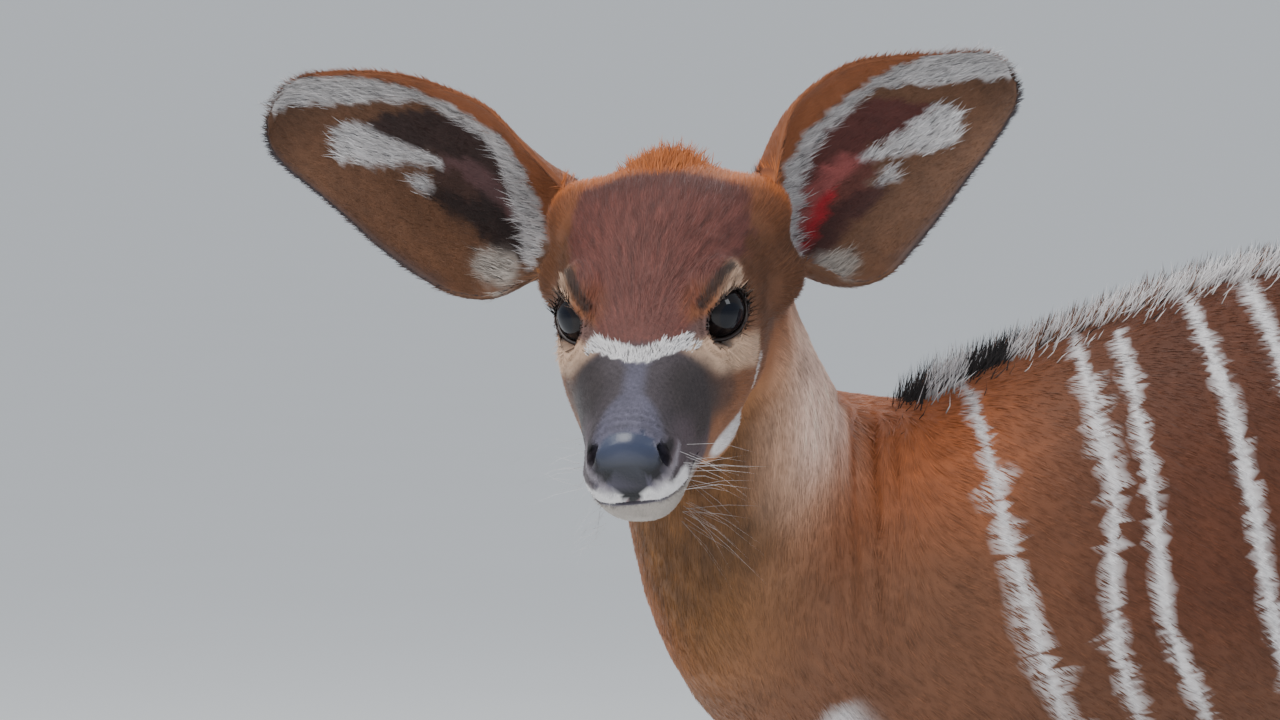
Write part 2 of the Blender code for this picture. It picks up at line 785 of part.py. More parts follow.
# Forelock: two overlapping rows of broad locks on the crown, lying back between the ears
def forelock():
    draw = random.Random(5)
    ahead, left, up = head_axes()
    locks = []
    for i in range(FORELOCK_COUNT):
        across = 2 * i / (FORELOCK_COUNT - 1) - 1
        root = on_head(-0.084 - 0.010 * (i % 2), 0.021 * across, 0.0385 - 0.0030 * across ** 2)
        aim = (up * 0.55 - ahead * 0.75 + left * (0.22 * across + draw.uniform(-0.1, 0.1))).normalized()
        bend = left * (0.20 * across) - up * 0.34 - ahead * 0.20
        face = (ahead * 0.7 + up * 0.7)
        length = FORELOCK_LENGTH * draw.uniform(0.85, 1.1) * (1.0 - 0.35 * across ** 2)
        locks.append(lock(root, aim, bend, face, length, FORELOCK_WIDTH, CREST_THICK))
    return locks


# Tail tuft: overlapping locks round the end of the tail, hanging past its tip
def tuft():
    draw = random.Random(3)
    path = np.array(smooth_rows(TAIL, 200))
    locks = []
    for i in range(TUFT_COUNT):
        share = i / (TUFT_COUNT - 1)
        height = TUFT_TOP - 0.046 * share
        near = path[np.argmin(np.abs(path[:, 2] - height))]
        turn = math.radians(137.5) * i
        out = Vector((math.cos(turn), math.sin(turn), 0))
        aim = (Vector((-0.03, 0, -1)) + out * (0.27 - 0.08 * share)).normalized()
        root = Vector(near[:3]) + out * (near[3] * 0.45)
        bend = -out * (0.26 + 0.06 * draw.random())
        length = TUFT_LENGTH * draw.uniform(0.86, 1.06)
        locks.append(lock(root, aim, bend, out, length, TUFT_WIDTH * draw.uniform(0.85, 1.15), TUFT_THICK))
    return locks


# Height of the back at a distance back
def back_line(x):
    rows = np.array(smooth_rows(TRUNK, 200))
    return float(np.interp(x, rows[:, 0], rows[:, 1]))


# Move every object so that the origin is under the middle of the whole
def centre_all(objects):
    lows = np.min([np.min([v.co[:] for v in o.data.vertices], axis=0) for o in objects], axis=0)
    highs = np.max([np.max([v.co[:] for v in o.data.vertices], axis=0) for o in objects], axis=0)
    move = Matrix.Translation(Vector((-(lows[0] + highs[0]) / 2, -(lows[1] + highs[1]) / 2, 0)))
    for item in objects:
        item.data.transform(move)


# Put one finished node in the part's collection
def finish(part, node, look):
    node.data.materials.clear()
    node.data.materials.append(material(look))
    for face in node.data.polygons:
        face.material_index = 0
    node.data.shade_smooth()
    bpy.context.scene.collection.objects.unlink(node)
    part.objects.link(node)


def main():
    part = start()
    whole = thin_flesh(flesh())
    nodes = name_pieces(part_flesh(whole))

    head = nodes["head"]
    boolean(head, [slit_cutter(-1), slit_cutter(1)], "DIFFERENCE")
    sockets = [ball("socket", eye_frame(sign)[0], (EYE_RADIUS + GAP,) * 3, None, 12, 18) for sign in (-1, 1)]
    boolean(head, sockets, "DIFFERENCE")
    boolean(head, [mouth_cutter()], "DIFFERENCE")
    boolean(head, nostril_cutters(), "DIFFERENCE", "MANIFOLD")
    nodes["head"] = largest(head, "head")

    for which in ("left", "right"):
        made = ear(which)
        boolean(made, [grown(nodes["head"], GAP), grown(nodes["neck"], GAP)], "DIFFERENCE")
        nodes["ear_" + which] = largest(made, "ear_" + which)
        sign = 1 if which == "left" else -1
        nodes["eye_" + which] = ball("eye_" + which, eye_frame(sign)[0], (EYE_RADIUS,) * 3, None, 10, 16)

    nodes.update(feet(nodes))

    for name, locks in (("torso", crest()), ("tail", tuft()), ("head", forelock())):
        boolean(nodes[name], locks, "UNION", "MANIFOLD")
        nodes[name] = largest(nodes[name], name)

    for name, node in nodes.items():
        look = "coat"
        if name.startswith("eye"):
            look = "eye"
        if name.startswith("hoof"):
            look = "hoof"
        finish(part, node, look)
        print(name, len(node.data.polygons))
    centre_all(list(part.objects))


if __name__ == "__main__":
    main()
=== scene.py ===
# %% [markdown]
# A bongo calf, a few weeks old, life-size. The solids give its standing body and its turned head.
# This scene gives it what can be seen: one skin from muzzle to hooves, a short coat of many fine tufts
# that follow the lie of the hair, markings, wet dark eyes, a moist nose pad, lids, lashes and whiskers.
import math

import bmesh
import bpy
import numpy as np
from mathutils import Matrix, Vector, kdtree


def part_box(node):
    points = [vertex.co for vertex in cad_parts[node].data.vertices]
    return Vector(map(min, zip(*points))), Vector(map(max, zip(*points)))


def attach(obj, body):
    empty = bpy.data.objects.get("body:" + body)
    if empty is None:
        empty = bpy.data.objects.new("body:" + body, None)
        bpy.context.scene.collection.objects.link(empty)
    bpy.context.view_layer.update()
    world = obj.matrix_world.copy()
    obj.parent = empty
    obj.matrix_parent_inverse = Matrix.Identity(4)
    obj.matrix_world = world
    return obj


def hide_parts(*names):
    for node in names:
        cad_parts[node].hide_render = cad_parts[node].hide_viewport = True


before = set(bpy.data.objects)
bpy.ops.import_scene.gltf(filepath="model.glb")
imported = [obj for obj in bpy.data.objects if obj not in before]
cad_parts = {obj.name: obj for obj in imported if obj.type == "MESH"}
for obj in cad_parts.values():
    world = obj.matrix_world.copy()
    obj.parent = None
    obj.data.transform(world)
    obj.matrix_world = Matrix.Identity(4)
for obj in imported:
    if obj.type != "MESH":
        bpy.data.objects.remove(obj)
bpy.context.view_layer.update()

# %% [markdown]
# The body's sizes. A calf is measured from station to station: how far back, how high and how wide.
# The same tables that shape the solids shape the skin, so that the two agree.
# %% Trunk, neck, legs and tail
# Trunk stations: distance back, top line, widest line, belly line, half width
TRUNK = [
    (0.018, 0.480, 0.455, 0.430, 0.020),
    (0.036, 0.522, 0.458, 0.396, 0.045),
    (0.075, 0.538, 0.458, 0.372, 0.064),
    (0.125, 0.556, 0.460, 0.356, 0.077),
    (0.180, 0.594, 0.460, 0.350, 0.083),
    (0.240, 0.620, 0.465, 0.350, 0.089),
    (0.330, 0.652, 0.480, 0.358, 0.094),
    (0.430, 0.668, 0.495, 0.380, 0.087),
    (0.520, 0.668, 0.520, 0.412, 0.074),
    (0.590, 0.660, 0.535, 0.432, 0.074),
    (0.640, 0.643, 0.540, 0.450, 0.070),
    (0.670, 0.618, 0.545, 0.480, 0.052),
    (0.684, 0.590, 0.550, 0.515, 0.026),
]

# Neck stations: centre x, y, z, half width, half depth
NECK = [
    (0.190, 0.000, 0.470, 0.052, 0.080),
    (0.145, -0.002, 0.478, 0.066, 0.096),
    (0.097, -0.010, 0.493, 0.074, 0.110),
    (0.063, -0.036, 0.528, 0.069, 0.090),
    (0.051, -0.070, 0.570, 0.067, 0.070),
    (0.041, -0.096, 0.625, 0.054, 0.056),
    (0.034, -0.106, 0.668, 0.046, 0.048),
]

# Fore leg and hind leg stations: x, y, z, half width, half depth
FORE_LEG = [
    (0.165, 0.052, 0.450, 0.030, 0.058),
    (0.182, 0.056, 0.385, 0.026, 0.040),
    (0.188, 0.057, 0.320, 0.0195, 0.027),
    (0.188, 0.056, 0.262, 0.0160, 0.0195),
    (0.184, 0.056, 0.218, 0.0175, 0.0200),
    (0.187, 0.056, 0.182, 0.0125, 0.0135),
    (0.188, 0.056, 0.120, 0.0110, 0.0125),
    (0.188, 0.056, 0.082, 0.0150, 0.0165),
    (0.180, 0.056, 0.055, 0.0135, 0.0135),
    (0.168, 0.056, 0.026, 0.0150, 0.0165),
    (0.164, 0.056, 0.008, 0.0120, 0.0130),
]
HIND_LEG = [
    (0.600, 0.050, 0.545, 0.034, 0.075),
    (0.588, 0.057, 0.470, 0.034, 0.068),
    (0.576, 0.060, 0.410, 0.029, 0.052),
    (0.594, 0.061, 0.350, 0.0215, 0.034),
    (0.622, 0.061, 0.305, 0.0150, 0.0215),
    (0.642, 0.061, 0.268, 0.0165, 0.0215),
    (0.644, 0.061, 0.228, 0.0130, 0.0165),
    (0.639, 0.061, 0.150, 0.0115, 0.0130),
    (0.636, 0.061, 0.092, 0.0155, 0.0170),
    (0.626, 0.061, 0.060, 0.0135, 0.0140),
    (0.612, 0.061, 0.027, 0.0150, 0.0165),
    (0.607, 0.061, 0.008, 0.0120, 0.0130),
]
# The upper legs are lofted this much fuller, because softening the joins draws them in
UPPER_FULL = 1.10
# How far each leg stands ahead (-) or behind (+) of square: left fore, right fore, left hind, right hind
STAGGER = {"front_left": -0.010, "front_right": 0.022, "hind_left": 0.016, "hind_right": -0.022}

# Tail stations: x, y, z, half width, half depth
TAIL = [
    (0.655, 0.0, 0.615, 0.016, 0.014),
    (0.684, 0.0, 0.612, 0.0125, 0.0115),
    (0.708, 0.0, 0.594, 0.0100, 0.0095),
    (0.720, 0.0, 0.555, 0.0085, 0.0080),
    (0.722, 0.0, 0.500, 0.0075, 0.0070),
    (0.718, 0.0, 0.440, 0.0065, 0.0060),
    (0.715, 0.0, 0.405, 0.0040, 0.0040),
]

# Where the solids' legs leave the body, and the place back that parts fore legs from hind legs
FORE_CUT = 0.333
HIND_CUT = 0.372
MID_BODY = 0.4
# The middle of the fore and hind cannon: place back, and distance from the midline
FORE_MIDDLE, HIND_MIDDLE, LEG_ASIDE = 0.188, 0.615, 0.056
# Where the head meets the neck, and the neck the trunk: a place and the way across the join
NECK_TOP = Vector((0.042, -0.1125, 0.645))
NECK_TOP_NORMAL = (0.06, 0.905, -0.424)
NECK_BASE = Vector((0.090, -0.022, 0.520))
NECK_BASE_NORMAL = (-0.79, -0.08, 0.61)

print("stations: trunk", len(TRUNK), "neck", len(NECK), "legs", len(FORE_LEG), "and", len(HIND_LEG))

# %% [markdown]
# The head's sizes are held in a frame of its own, so that the head can turn to the side without a change
# to its shape. The eyes look out sideways, as a grazing animal's do, and each ear is a long open cup.
# %% Head, eyes and ears
# Where the head is, and how far it turns, looks down and leans
HEAD_PLACE = Vector((0.006, -0.190, 0.641))
HEAD_YAW = math.radians(9.5)
HEAD_PITCH = math.radians(29.0)
HEAD_ROLL = math.radians(2.4)

# Head stations: forward, top line, widest line, jaw line, half width
HEAD = [
    (0.1150, -0.026, -0.036, -0.048, 0.012),
    (0.1110, -0.018, -0.039, -0.062, 0.0215),
    (0.1000, -0.011, -0.041, -0.075, 0.0270),
    (0.0820, -0.006, -0.041, -0.077, 0.0300),
    (0.0580, 0.000, -0.036, -0.077, 0.0370),
    (0.0350, 0.009, -0.031, -0.078, 0.0460),
    (0.0130, 0.019, -0.025, -0.080, 0.0535),
    (-0.0100, 0.029, -0.021, -0.084, 0.0570),
    (-0.0400, 0.039, -0.013, -0.087, 0.0600),
    (-0.0700, 0.044, -0.004, -0.082, 0.0590),
    (-0.0950, 0.041, 0.004, -0.067, 0.0535),
    (-0.1140, 0.028, 0.002, -0.042, 0.0390),
    (-0.1240, 0.010, -0.004, -0.018, 0.0180),
]

# Eyeballs: distance from the midline, size, way out and up, wall of the lids, and the opening's size
EYE_ACROSS = 0.0365
EYE_RADIUS = 0.0165
EYE_TURN = math.radians(46.0)
EYE_LIFT = math.radians(9.0)
LID = 0.0032
SLIT_LENGTH = 0.0340
SLIT_HEIGHT = 0.0222
SLIT_TILT = math.radians(-14.0)
SLIT_POWER = 1.15

# Places on the muzzle: ahead, across, up. The furrows over the nose are rings round the pad's middle
NOSTRIL = (0.1055, 0.0185, -0.0275)
NOSE_MIDDLE = (0.117, 0.0, -0.032)
FURROW_STEP = 0.0048

# Ear stations: share of the length, half width, drop of the middle, half of the arc that the cup wraps
EAR_LENGTH = {"left": 0.171, "right": 0.178}
EAR_WALL = 0.0024
EAR_SIDES = 30
EAR = {
    "left": [
        (-0.12, 0.020, 0.0000, 140),
        (0.00, 0.028, 0.0030, 122),
        (0.09, 0.0435, 0.0045, 100),
        (0.20, 0.0545, 0.0000, 84),
        (0.35, 0.0552, -0.0045, 73),
        (0.50, 0.0505, -0.0070, 65),
        (0.65, 0.0410, -0.0060, 58),
        (0.78, 0.0318, -0.0038, 52),
        (0.89, 0.0235, -0.0030, 46),
        (0.95, 0.0175, -0.0020, 42),
        (0.985, 0.0105, -0.0010, 40),
        (1.00, 0.0045, -0.0005, 40),
    ],
    "right": [
        (-0.12, 0.020, 0.0000, 140),
        (0.00, 0.029, 0.0015, 122),
        (0.09, 0.0395, 0.0075, 100),
        (0.20, 0.0480, 0.0078, 84),
        (0.35, 0.0535, 0.0018, 73),
        (0.50, 0.0510, -0.0016, 65),
        (0.65, 0.0448, -0.0042, 58),
        (0.78, 0.0372, -0.0036, 52),
        (0.89, 0.0295, -0.0015, 46),
        (0.95, 0.0225, -0.0005, 42),
        (0.985, 0.0140, 0.0000, 40),
        (1.00, 0.0060, 0.0000, 40),
    ],
}
# Each ear's root in the head's frame, the way that it points and the way that its cup faces
EAR_ROOT_SIZE = 0.0190
EAR_ROOT = {"left": (-0.083, 0.070, 0.005), "right": (-0.083, -0.067, 0.003)}
EAR_AIM = {"left": (0.700, 0.42, 0.450), "right": (-0.905, 0.10, 0.400)}
EAR_FACE = {"left": (0.10, -1.0, -0.10), "right": (-0.12, -1.0, -0.22)}
print("stations: head", len(HEAD), "ear", len(EAR["left"]))

# %% [markdown]
# Each foot has two claws. Their horn starts at the coronet, which slopes down towards the heel.
# %% Hoof sizes
CORONET = 0.024
CORONET_SLOPE = math.radians(14.0)
CLAW_LENGTH = 0.046
CLAW_WIDTH = 0.0165
CLEFT = 0.0022
print("claw", CLAW_LENGTH, "m long,", CLAW_WIDTH, "m wide")


# %% [markdown]
# Tools for shaping. A loft skins a row of sections, a fuse melts overlapping pieces into one skin,
# and a Boolean cuts the openings. On a live animal these forms are muscle and bone under one hide.
# %% Shaping tools
# A mesh, light or camera as an object in the scene
def add_object(name, data):
    made = bpy.data.objects.new(name, data)
    bpy.context.scene.collection.objects.link(made)
    return made


# Object from a bmesh
def make(name, bm):
    mesh = bpy.data.meshes.new(name)
    bmesh.ops.recalc_face_normals(bm, faces=bm.faces)
    bm.to_mesh(mesh)
    bm.free()
    return add_object(name, mesh)


# Rows of numbers read along a smooth curve through the given rows
def smooth_rows(rows, count):
    rows = np.array(rows, float)
    steps = np.linalg.norm(np.diff(rows[:, :3], axis=0), axis=1)
    place = np.concatenate([[0.0], np.cumsum(steps)])
    slopes = np.gradient(rows, place, axis=0)
    out = []
    for at in np.linspace(0.0, place[-1], count):
        i = min(int(np.searchsorted(place, at, side="right")) - 1, len(rows) - 2)
        span = place[i + 1] - place[i]
        t = (at - place[i]) / span
        a = 2 * t**3 - 3 * t**2 + 1
        b = t**3 - 2 * t**2 + t
        c = -2 * t**3 + 3 * t**2
        d = t**3 - t**2
        out.append(a * rows[i] + b * span * slopes[i] + c * rows[i + 1] + d * span * slopes[i + 1])
    return out


# One egg-shaped section: its rise above the widest line and its drop below it
def section(centre, side, up, half_width, rise, drop, power, sides):
    points = []
    for k in range(sides):
        angle = 2 * math.pi * k / sides
        c, s = math.cos(angle), math.sin(angle)
        across = math.copysign(abs(c) ** (2 / power), c) * half_width
        height = math.copysign(abs(s) ** (2 / power), s) * (rise if s > 0 else drop)
        points.append(centre + side * across + up * height)
    return points


# Closed skin over a row of sections
def loft(name, rings):
    bm = bmesh.new()
    rows = [[bm.verts.new(p) for p in ring] for ring in rings]
    count = len(rows[0])
    for near, far in zip(rows, rows[1:]):
        for k in range(count):
            n = (k + 1) % count
            bm.faces.new((near[k], near[n], far[n], far[k]))
    bm.faces.new(rows[0])
    bm.faces.new(rows[-1])
    return make(name, bm)


# A trunk or head: stations along one straight axis
def barrel(name, stations, origin, forward, side, up, power, rows=40, sides=32):
    rings = []
    for at, top, middle, bottom, half in smooth_rows(stations, rows):
        centre = origin + forward * at + up * middle
        rings.append(section(centre, side, up, half, top - middle, middle - bottom, power, sides))
    return loft(name, rings)


# A neck, leg or tail: stations along a bent path
def limb(name, stations, reference, rows=36, sides=20):
    path = smooth_rows(stations, rows)
    rings = []
    for i, row in enumerate(path):
        ahead = path[min(i + 1, rows - 1)][:3] - path[max(i - 1, 0)][:3]
        along = Vector(ahead).normalized()
        side = along.cross(reference).normalized()
        deep = side.cross(along)
        rings.append(section(Vector(row[:3]), side, deep, row[3], row[4], row[4], 2.0, sides))
    return loft(name, rings)


# An ellipsoid
def ball(name, centre, sizes, axes=None, rings=16, segments=24):
    bm = bmesh.new()
    bmesh.ops.create_uvsphere(bm, u_segments=segments, v_segments=rings, radius=1.0)
    turn = Matrix.Identity(3) if axes is None else Matrix(axes).transposed()
    grow = Matrix.Diagonal(sizes)
    bmesh.ops.transform(bm, matrix=Matrix.Translation(centre) @ (turn @ grow).to_4x4(), verts=bm.verts)
    return make(name, bm)


# The shape that an object's modifiers give, kept as its own mesh
def apply(target):
    graph = bpy.context.evaluated_depsgraph_get()
    graph.update()
    mesh = bpy.data.meshes.new_from_object(target.evaluated_get(graph))
    target.modifiers.clear()
    target.data = mesh
    return target


# Many meshes in one object, still overlapping
def gather(name, pieces):
    bm = bmesh.new()
    for piece in pieces:
        bm.from_mesh(piece.data)
        bpy.data.objects.remove(piece)
    mesh = bpy.data.meshes.new(name)
    bm.to_mesh(mesh)
    bm.free()
    return add_object(name, mesh)


# One skin round overlapping pieces, softened at the joins
def fuse(name, pieces, voxel, rounds):
    made = gather(name, pieces)
    skin = made.modifiers.new("skin", "REMESH")
    skin.mode = "VOXEL"
    skin.voxel_size = voxel
    soften = made.modifiers.new("soften", "SMOOTH")
    soften.factor = 0.5
    soften.iterations = rounds
    return apply(made)


# Boolean with one tool object or with several at once
def boolean(target, tools, operation, solver="EXACT"):
    group = bpy.data.collections.new("tools")
    bpy.context.scene.collection.children.link(group)
    for tool in tools:
        group.objects.link(tool)
        tool.hide_render = True
        tool.display_type = "WIRE"
    cut = target.modifiers.new("cut", "BOOLEAN")
    cut.operation = operation
    cut.operand_type = "COLLECTION"
    cut.collection = group
    cut.solver = solver
    apply(target)
    for tool in tools:
        bpy.data.objects.remove(tool)
    bpy.data.collections.remove(group)
    return target


# Fewer triangles, but none taken from the vertices left out of the group
def thin_out(target, triangles, group=""):
    target.data.calc_loop_triangles()
    fewer = target.modifiers.new("fewer", "DECIMATE")
    fewer.ratio = min(1.0, triangles / len(target.data.loop_triangles))
    fewer.use_collapse_triangulate = True
    fewer.vertex_group = group
    return apply(target)


# %% [markdown]
# Openings of the head. The slits of the eyes, the mouth and the nostrils are cut with tools that are
# modelled in the head's frame, because a real opening casts a real shadow.
# %% Head shapes
# The head's axes: ahead, to its left, up
def head_axes():
    ahead = Vector((
        -math.sin(HEAD_YAW) * math.cos(HEAD_PITCH),
        -math.cos(HEAD_YAW) * math.cos(HEAD_PITCH),
        -math.sin(HEAD_PITCH),
    ))
    left = Vector((0, 0, 1)).cross(ahead).normalized()
    up = ahead.cross(left)
    rolled = left * math.cos(HEAD_ROLL) + up * math.sin(HEAD_ROLL)
    return ahead, rolled, ahead.cross(rolled)


# A place given ahead, to the left and up in the head's frame
def on_head(ahead, left, up):
    forward, side, rise = head_axes()
    return HEAD_PLACE + forward * ahead + side * left + rise * up


# One eye's place and axes: centre, out, along the slit
def eye_frame(sign):
    ahead, left, up = head_axes()
    centre = on_head(0.0, EYE_ACROSS * sign, 0.0)
    out = ahead * math.cos(EYE_TURN) + left * (math.sin(EYE_TURN) * sign)
    out = (out * math.cos(EYE_LIFT) + up * math.sin(EYE_LIFT)).normalized()
    along = (ahead - out * ahead.dot(out)).normalized()
    upright = (up - out * up.dot(out) - along * up.dot(along)).normalized()
    slit = along * math.cos(SLIT_TILT) + upright * math.sin(SLIT_TILT)
    return centre, out, slit


# A corner of the eye opening's almond outline: along the slit and upright
def almond(angle):
    height = math.copysign(abs(math.sin(angle)) ** SLIT_POWER, math.sin(angle)) * SLIT_HEIGHT / 2
    return math.cos(angle) * SLIT_LENGTH / 2, height


# Almond-shaped prism that opens the lids
def slit_cutter(sign):
    centre, out, slit = eye_frame(sign)
    upright = out.cross(slit).normalized()
    outline = []
    for k in range(20):
        across, height = almond(2 * math.pi * k / 20)
        outline.append(slit * across + upright * height)
    near = [centre + out * 0.002 + p for p in outline]
    far = [centre + out * 0.040 + p * 1.25 for p in outline]
    return loft("slit", [near, far])


# Height of the mouth line, from -1 at the right corner of the lips to 1 at the left one
def lip_line(s):
    return -0.0530 + 0.0015 * s * s + 0.0030 * s


# Thin curved wedge that opens the line of the mouth
def mouth_cutter():
    ahead, left, up = head_axes()
    rings = []
    for k in range(25):
        angle = math.radians(-100 + 200 * k / 24)
        out = ahead * math.cos(angle) + left * math.sin(angle)
        place = on_head(0.079, 0, lip_line(math.sin(angle)))
        reach = 0.0250 + 0.0095 * math.cos(angle) ** 2
        front = place + out * (reach + 0.014)
        back = place + out * (reach - 0.003)
        rings.append([front + up * 0.0012, front - up * 0.0012, back - up * 0.0003, back + up * 0.0003])
    return loft("mouth", rings)


# Nostril pockets, slanting outwards and back
def nostril_cutters():
    ahead, left, up = head_axes()
    cutters = []
    for sign in (-1, 1):
        deep = (ahead * 0.62 + left * sign * 0.78).normalized()
        thin = (ahead * 0.78 - left * sign * 0.62).normalized()
        place = on_head(NOSTRIL[0], NOSTRIL[1] * sign, NOSTRIL[2])
        cutters.append(ball("nostril", place, (0.0070, 0.0044, 0.0084), (deep, thin, up), 8, 12))
    return cutters

# %% [markdown]
# An ear is a sheet of gristle that is rolled to a cup. Each station is an arc, which narrows towards the
# tip, and Solidify gives the sheet its wall.
# %% Ear cups
# One ear's axes and root: along it, out of its opening, across it
def ear_frame(which):
    aim = Vector(EAR_AIM[which]).normalized()
    face = Vector(EAR_FACE[which])
    face = (face - aim * face.dot(aim)).normalized()
    return aim, face, aim.cross(face).normalized(), on_head(*EAR_ROOT[which])


# An ear: an open cup, thickened
def ear(which):
    aim, face, wide, root = ear_frame(which)
    lower = -1 if wide.z > 0 else 1
    bm = bmesh.new()
    rows = []
    for share, half, drop, wrap in smooth_rows([(s, h, d, w / 1000) for s, h, d, w in EAR[which]], 48):
        arc = math.radians(wrap * 1000)
        radius = half / math.sin(min(arc, math.pi / 2))
        middle = root + aim * (EAR_LENGTH[which] * share) + face * (radius * math.cos(arc))
        middle += wide * (lower * drop)
        row = []
        for k in range(EAR_SIDES + 1):
            angle = arc * (2 * k / EAR_SIDES - 1)
            across = wide * (radius * math.sin(angle))
            row.append(bm.verts.new(middle + across - face * (radius * math.cos(angle))))
        rows.append(row)
    for near, far in zip(rows, rows[1:]):
        for k in range(EAR_SIDES):
            bm.faces.new((near[k], near[k + 1], far[k + 1], far[k]))
    made = make("ear_" + which, bm)
    wall = made.modifiers.new("wall", "SOLIDIFY")
    wall.thickness = EAR_WALL
    wall.offset = 0.0
    wall.use_even_offset = True
    return apply(made)

# %% [markdown]
# The flesh. Trunk, neck and upper legs are lofted as barrels of muscle and softened together.
# The head and the lower legs keep their crisper bone shapes, so they join in a second, finer fuse.
# %% Flesh
# Leg stations moved to one side and staggered, the foot more than the shoulder
def leg_stations(stations, which):
    mirror = -1 if which.endswith("left") else 1
    top = stations[0][2]
    rows = []
    for x, y, z, half, deep in stations:
        share = 1 - z / top
        rows.append((x + STAGGER[which] * share, y * mirror, z, half, deep))
    return rows


LEGS = {
    "front_left": FORE_LEG,
    "front_right": FORE_LEG,
    "hind_left": HIND_LEG,
    "hind_right": HIND_LEG,
}


# Large masses of the body
def body_pieces():
    x_axis, y_axis, z_axis = Vector((1, 0, 0)), Vector((0, 1, 0)), Vector((0, 0, 1))
    pieces = [barrel("trunk", TRUNK, Vector(), x_axis, y_axis, z_axis, 2.2)]
    pieces.append(limb("neck", NECK, z_axis, sides=28))
    for sign in (-1, 1):
        pieces.append(ball("shoulder", Vector((0.150, 0.044 * sign, 0.455)), (0.070, 0.045, 0.094)))
        pieces.append(ball("haunch", Vector((0.606, 0.046 * sign, 0.525)), (0.080, 0.050, 0.112)))
    for which, stations in LEGS.items():
        rows = leg_stations(stations, which)
        thick = [(x, y, z, half * UPPER_FULL, deep * UPPER_FULL) for x, y, z, half, deep in rows[:6]]
        pieces.append(limb("upper_leg", thick, x_axis, rows=20))
    return pieces


# Muzzle, brows, cheeks and ear roots
def head_pieces():
    ahead, left, up = head_axes()
    axes = (left, ahead, up)
    pieces = [barrel("skull", HEAD, HEAD_PLACE, ahead, left, up, 2.35, rows=48, sides=36)]
    for sign in (-1, 1):
        eye, _, _ = eye_frame(sign)
        pieces.append(ball("lids", eye, (EYE_RADIUS + LID,) * 3))
        pieces.append(ball("brow", on_head(-0.010, 0.034 * sign, 0.012), (0.019, 0.024, 0.014), axes))
        pieces.append(ball("cheek", on_head(-0.034, 0.034 * sign, -0.040), (0.023, 0.046, 0.034), axes))
        pieces.append(ball("jaw", on_head(0.010, 0.027 * sign, -0.062), (0.0175, 0.040, 0.0210), axes))
        pieces.append(ball("lip", on_head(0.093, 0.0155 * sign, -0.045), (0.0140, 0.020, 0.0150), axes))
        pieces.append(ball("temple", on_head(-0.083, 0.048 * sign, 0.013), (0.024, 0.028, 0.022), axes))
        pieces.append(ball("ear_base", on_head(-0.066, 0.050 * sign, -0.018), (0.029, 0.026, 0.024), axes))
        aim, face, _, root = ear_frame("left" if sign > 0 else "right")
        pieces.append(ball("ear_root", root - aim * 0.020 - face * 0.013, (EAR_ROOT_SIZE,) * 3))
    return pieces


# Lower legs and dewclaws
def lower_leg_pieces():
    pieces = []
    for which, stations in LEGS.items():
        rows = leg_stations(stations, which)
        top = rows[2]
        sunk = [(*top[:3], top[3] * 0.5, top[4] * 0.5)] + rows[3:]
        pieces.append(limb("lower_leg", sunk, Vector((1, 0, 0)), rows=44))
        fetlock = rows[-4]
        for sign in (-1, 1):
            centre = Vector((fetlock[0] + 0.013, fetlock[1] + 0.0075 * sign, fetlock[2] - 0.014))
            pieces.append(ball("dewclaw", centre, (0.0058, 0.0046, 0.0085)))
    return pieces


# The whole flesh in one closed skin
def flesh(voxel):
    body = fuse("body", body_pieces(), 0.008, 14)
    rounder = body.modifiers.new("rounder", "SUBSURF")
    rounder.levels = 1
    rounder.render_levels = 1
    apply(body)
    tail = limb("tail", TAIL, Vector((0, 1, 0)), rows=60, sides=20)
    pieces = [body, tail] + head_pieces() + lower_leg_pieces()
    return fuse("flesh", pieces, voxel, 8)


# %% [markdown]
# Small array tools. Hair is far too many pieces for modelling by hand, so roots, directions and
# colours are worked out for whole arrays of points at once, always from the same seeds.
# %% Array tools
# Directions of length 1
def unit(a):
    return a / np.maximum(np.linalg.norm(a, axis=-1, keepdims=True), 1e-9)


# Smooth step from 0 at low to 1 at high
def ramp(x, low, high):
    t = np.clip((x - low) / (high - low), 0.0, 1.0)
    return t * t * (3 - 2 * t)


# Smooth step from 1 at low to 0 at high
def fade(x, low, high):
    return 1 - ramp(x, low, high)


# One colour or way for every point
def plain(value, points):
    return np.repeat(np.array(value, float)[None, :], len(points), 0)


# Mix two colours, ways or arrays of them by a weight per point
def mix(a, b, weight):
    return a + (np.asarray(b) - a) * np.asarray(weight)[:, None]


# Lay one tone after another over a colour: pairs of a tone and its weight
def paint(colour, coats):
    for tone, weight in coats:
        colour = mix(colour, tone, weight)
    return colour


# Soft random waves of about the given size, mostly between -1 and 1
def ripple(points, size, seed):
    draw = np.random.default_rng(seed)
    waves = unit(draw.normal(size=(9, 3))) * (2 * math.pi / size) * draw.uniform(0.6, 1.5, (9, 1))
    return np.sin(points @ waves.T + draw.uniform(0, 6.28, 9)).sum(axis=1) / 3.0


# Distance of points from a line of corners
def line_distance(points, corners):
    best = np.full(len(points), 1e9)
    for a, b in zip(np.array(corners, float), np.array(corners, float)[1:]):
        along = np.clip(((points - a) @ (b - a)) / max(float((b - a) @ (b - a)), 1e-12), 0, 1)
        best = np.minimum(best, np.linalg.norm(points - a - along[:, None] * (b - a), axis=1))
    return best


# Linear colour from the 0 to 255 values of a colour picker
def rgb(red, green, blue):
    value = np.array([red, green, blue]) / 255.0
    return np.where(value <= 0.04045, value / 12.92, ((value + 0.055) / 1.055) ** 2.4)


# Axes and places as arrays
def as_arrays(vectors):
    return tuple(np.array(v) for v in vectors)


# Places in the head's frame: forward, to its left, up
def in_head(points):
    ahead, left, up = as_arrays(head_axes())
    r = points - np.array(HEAD_PLACE)
    return np.stack([r @ ahead, r @ left, r @ up], axis=1)


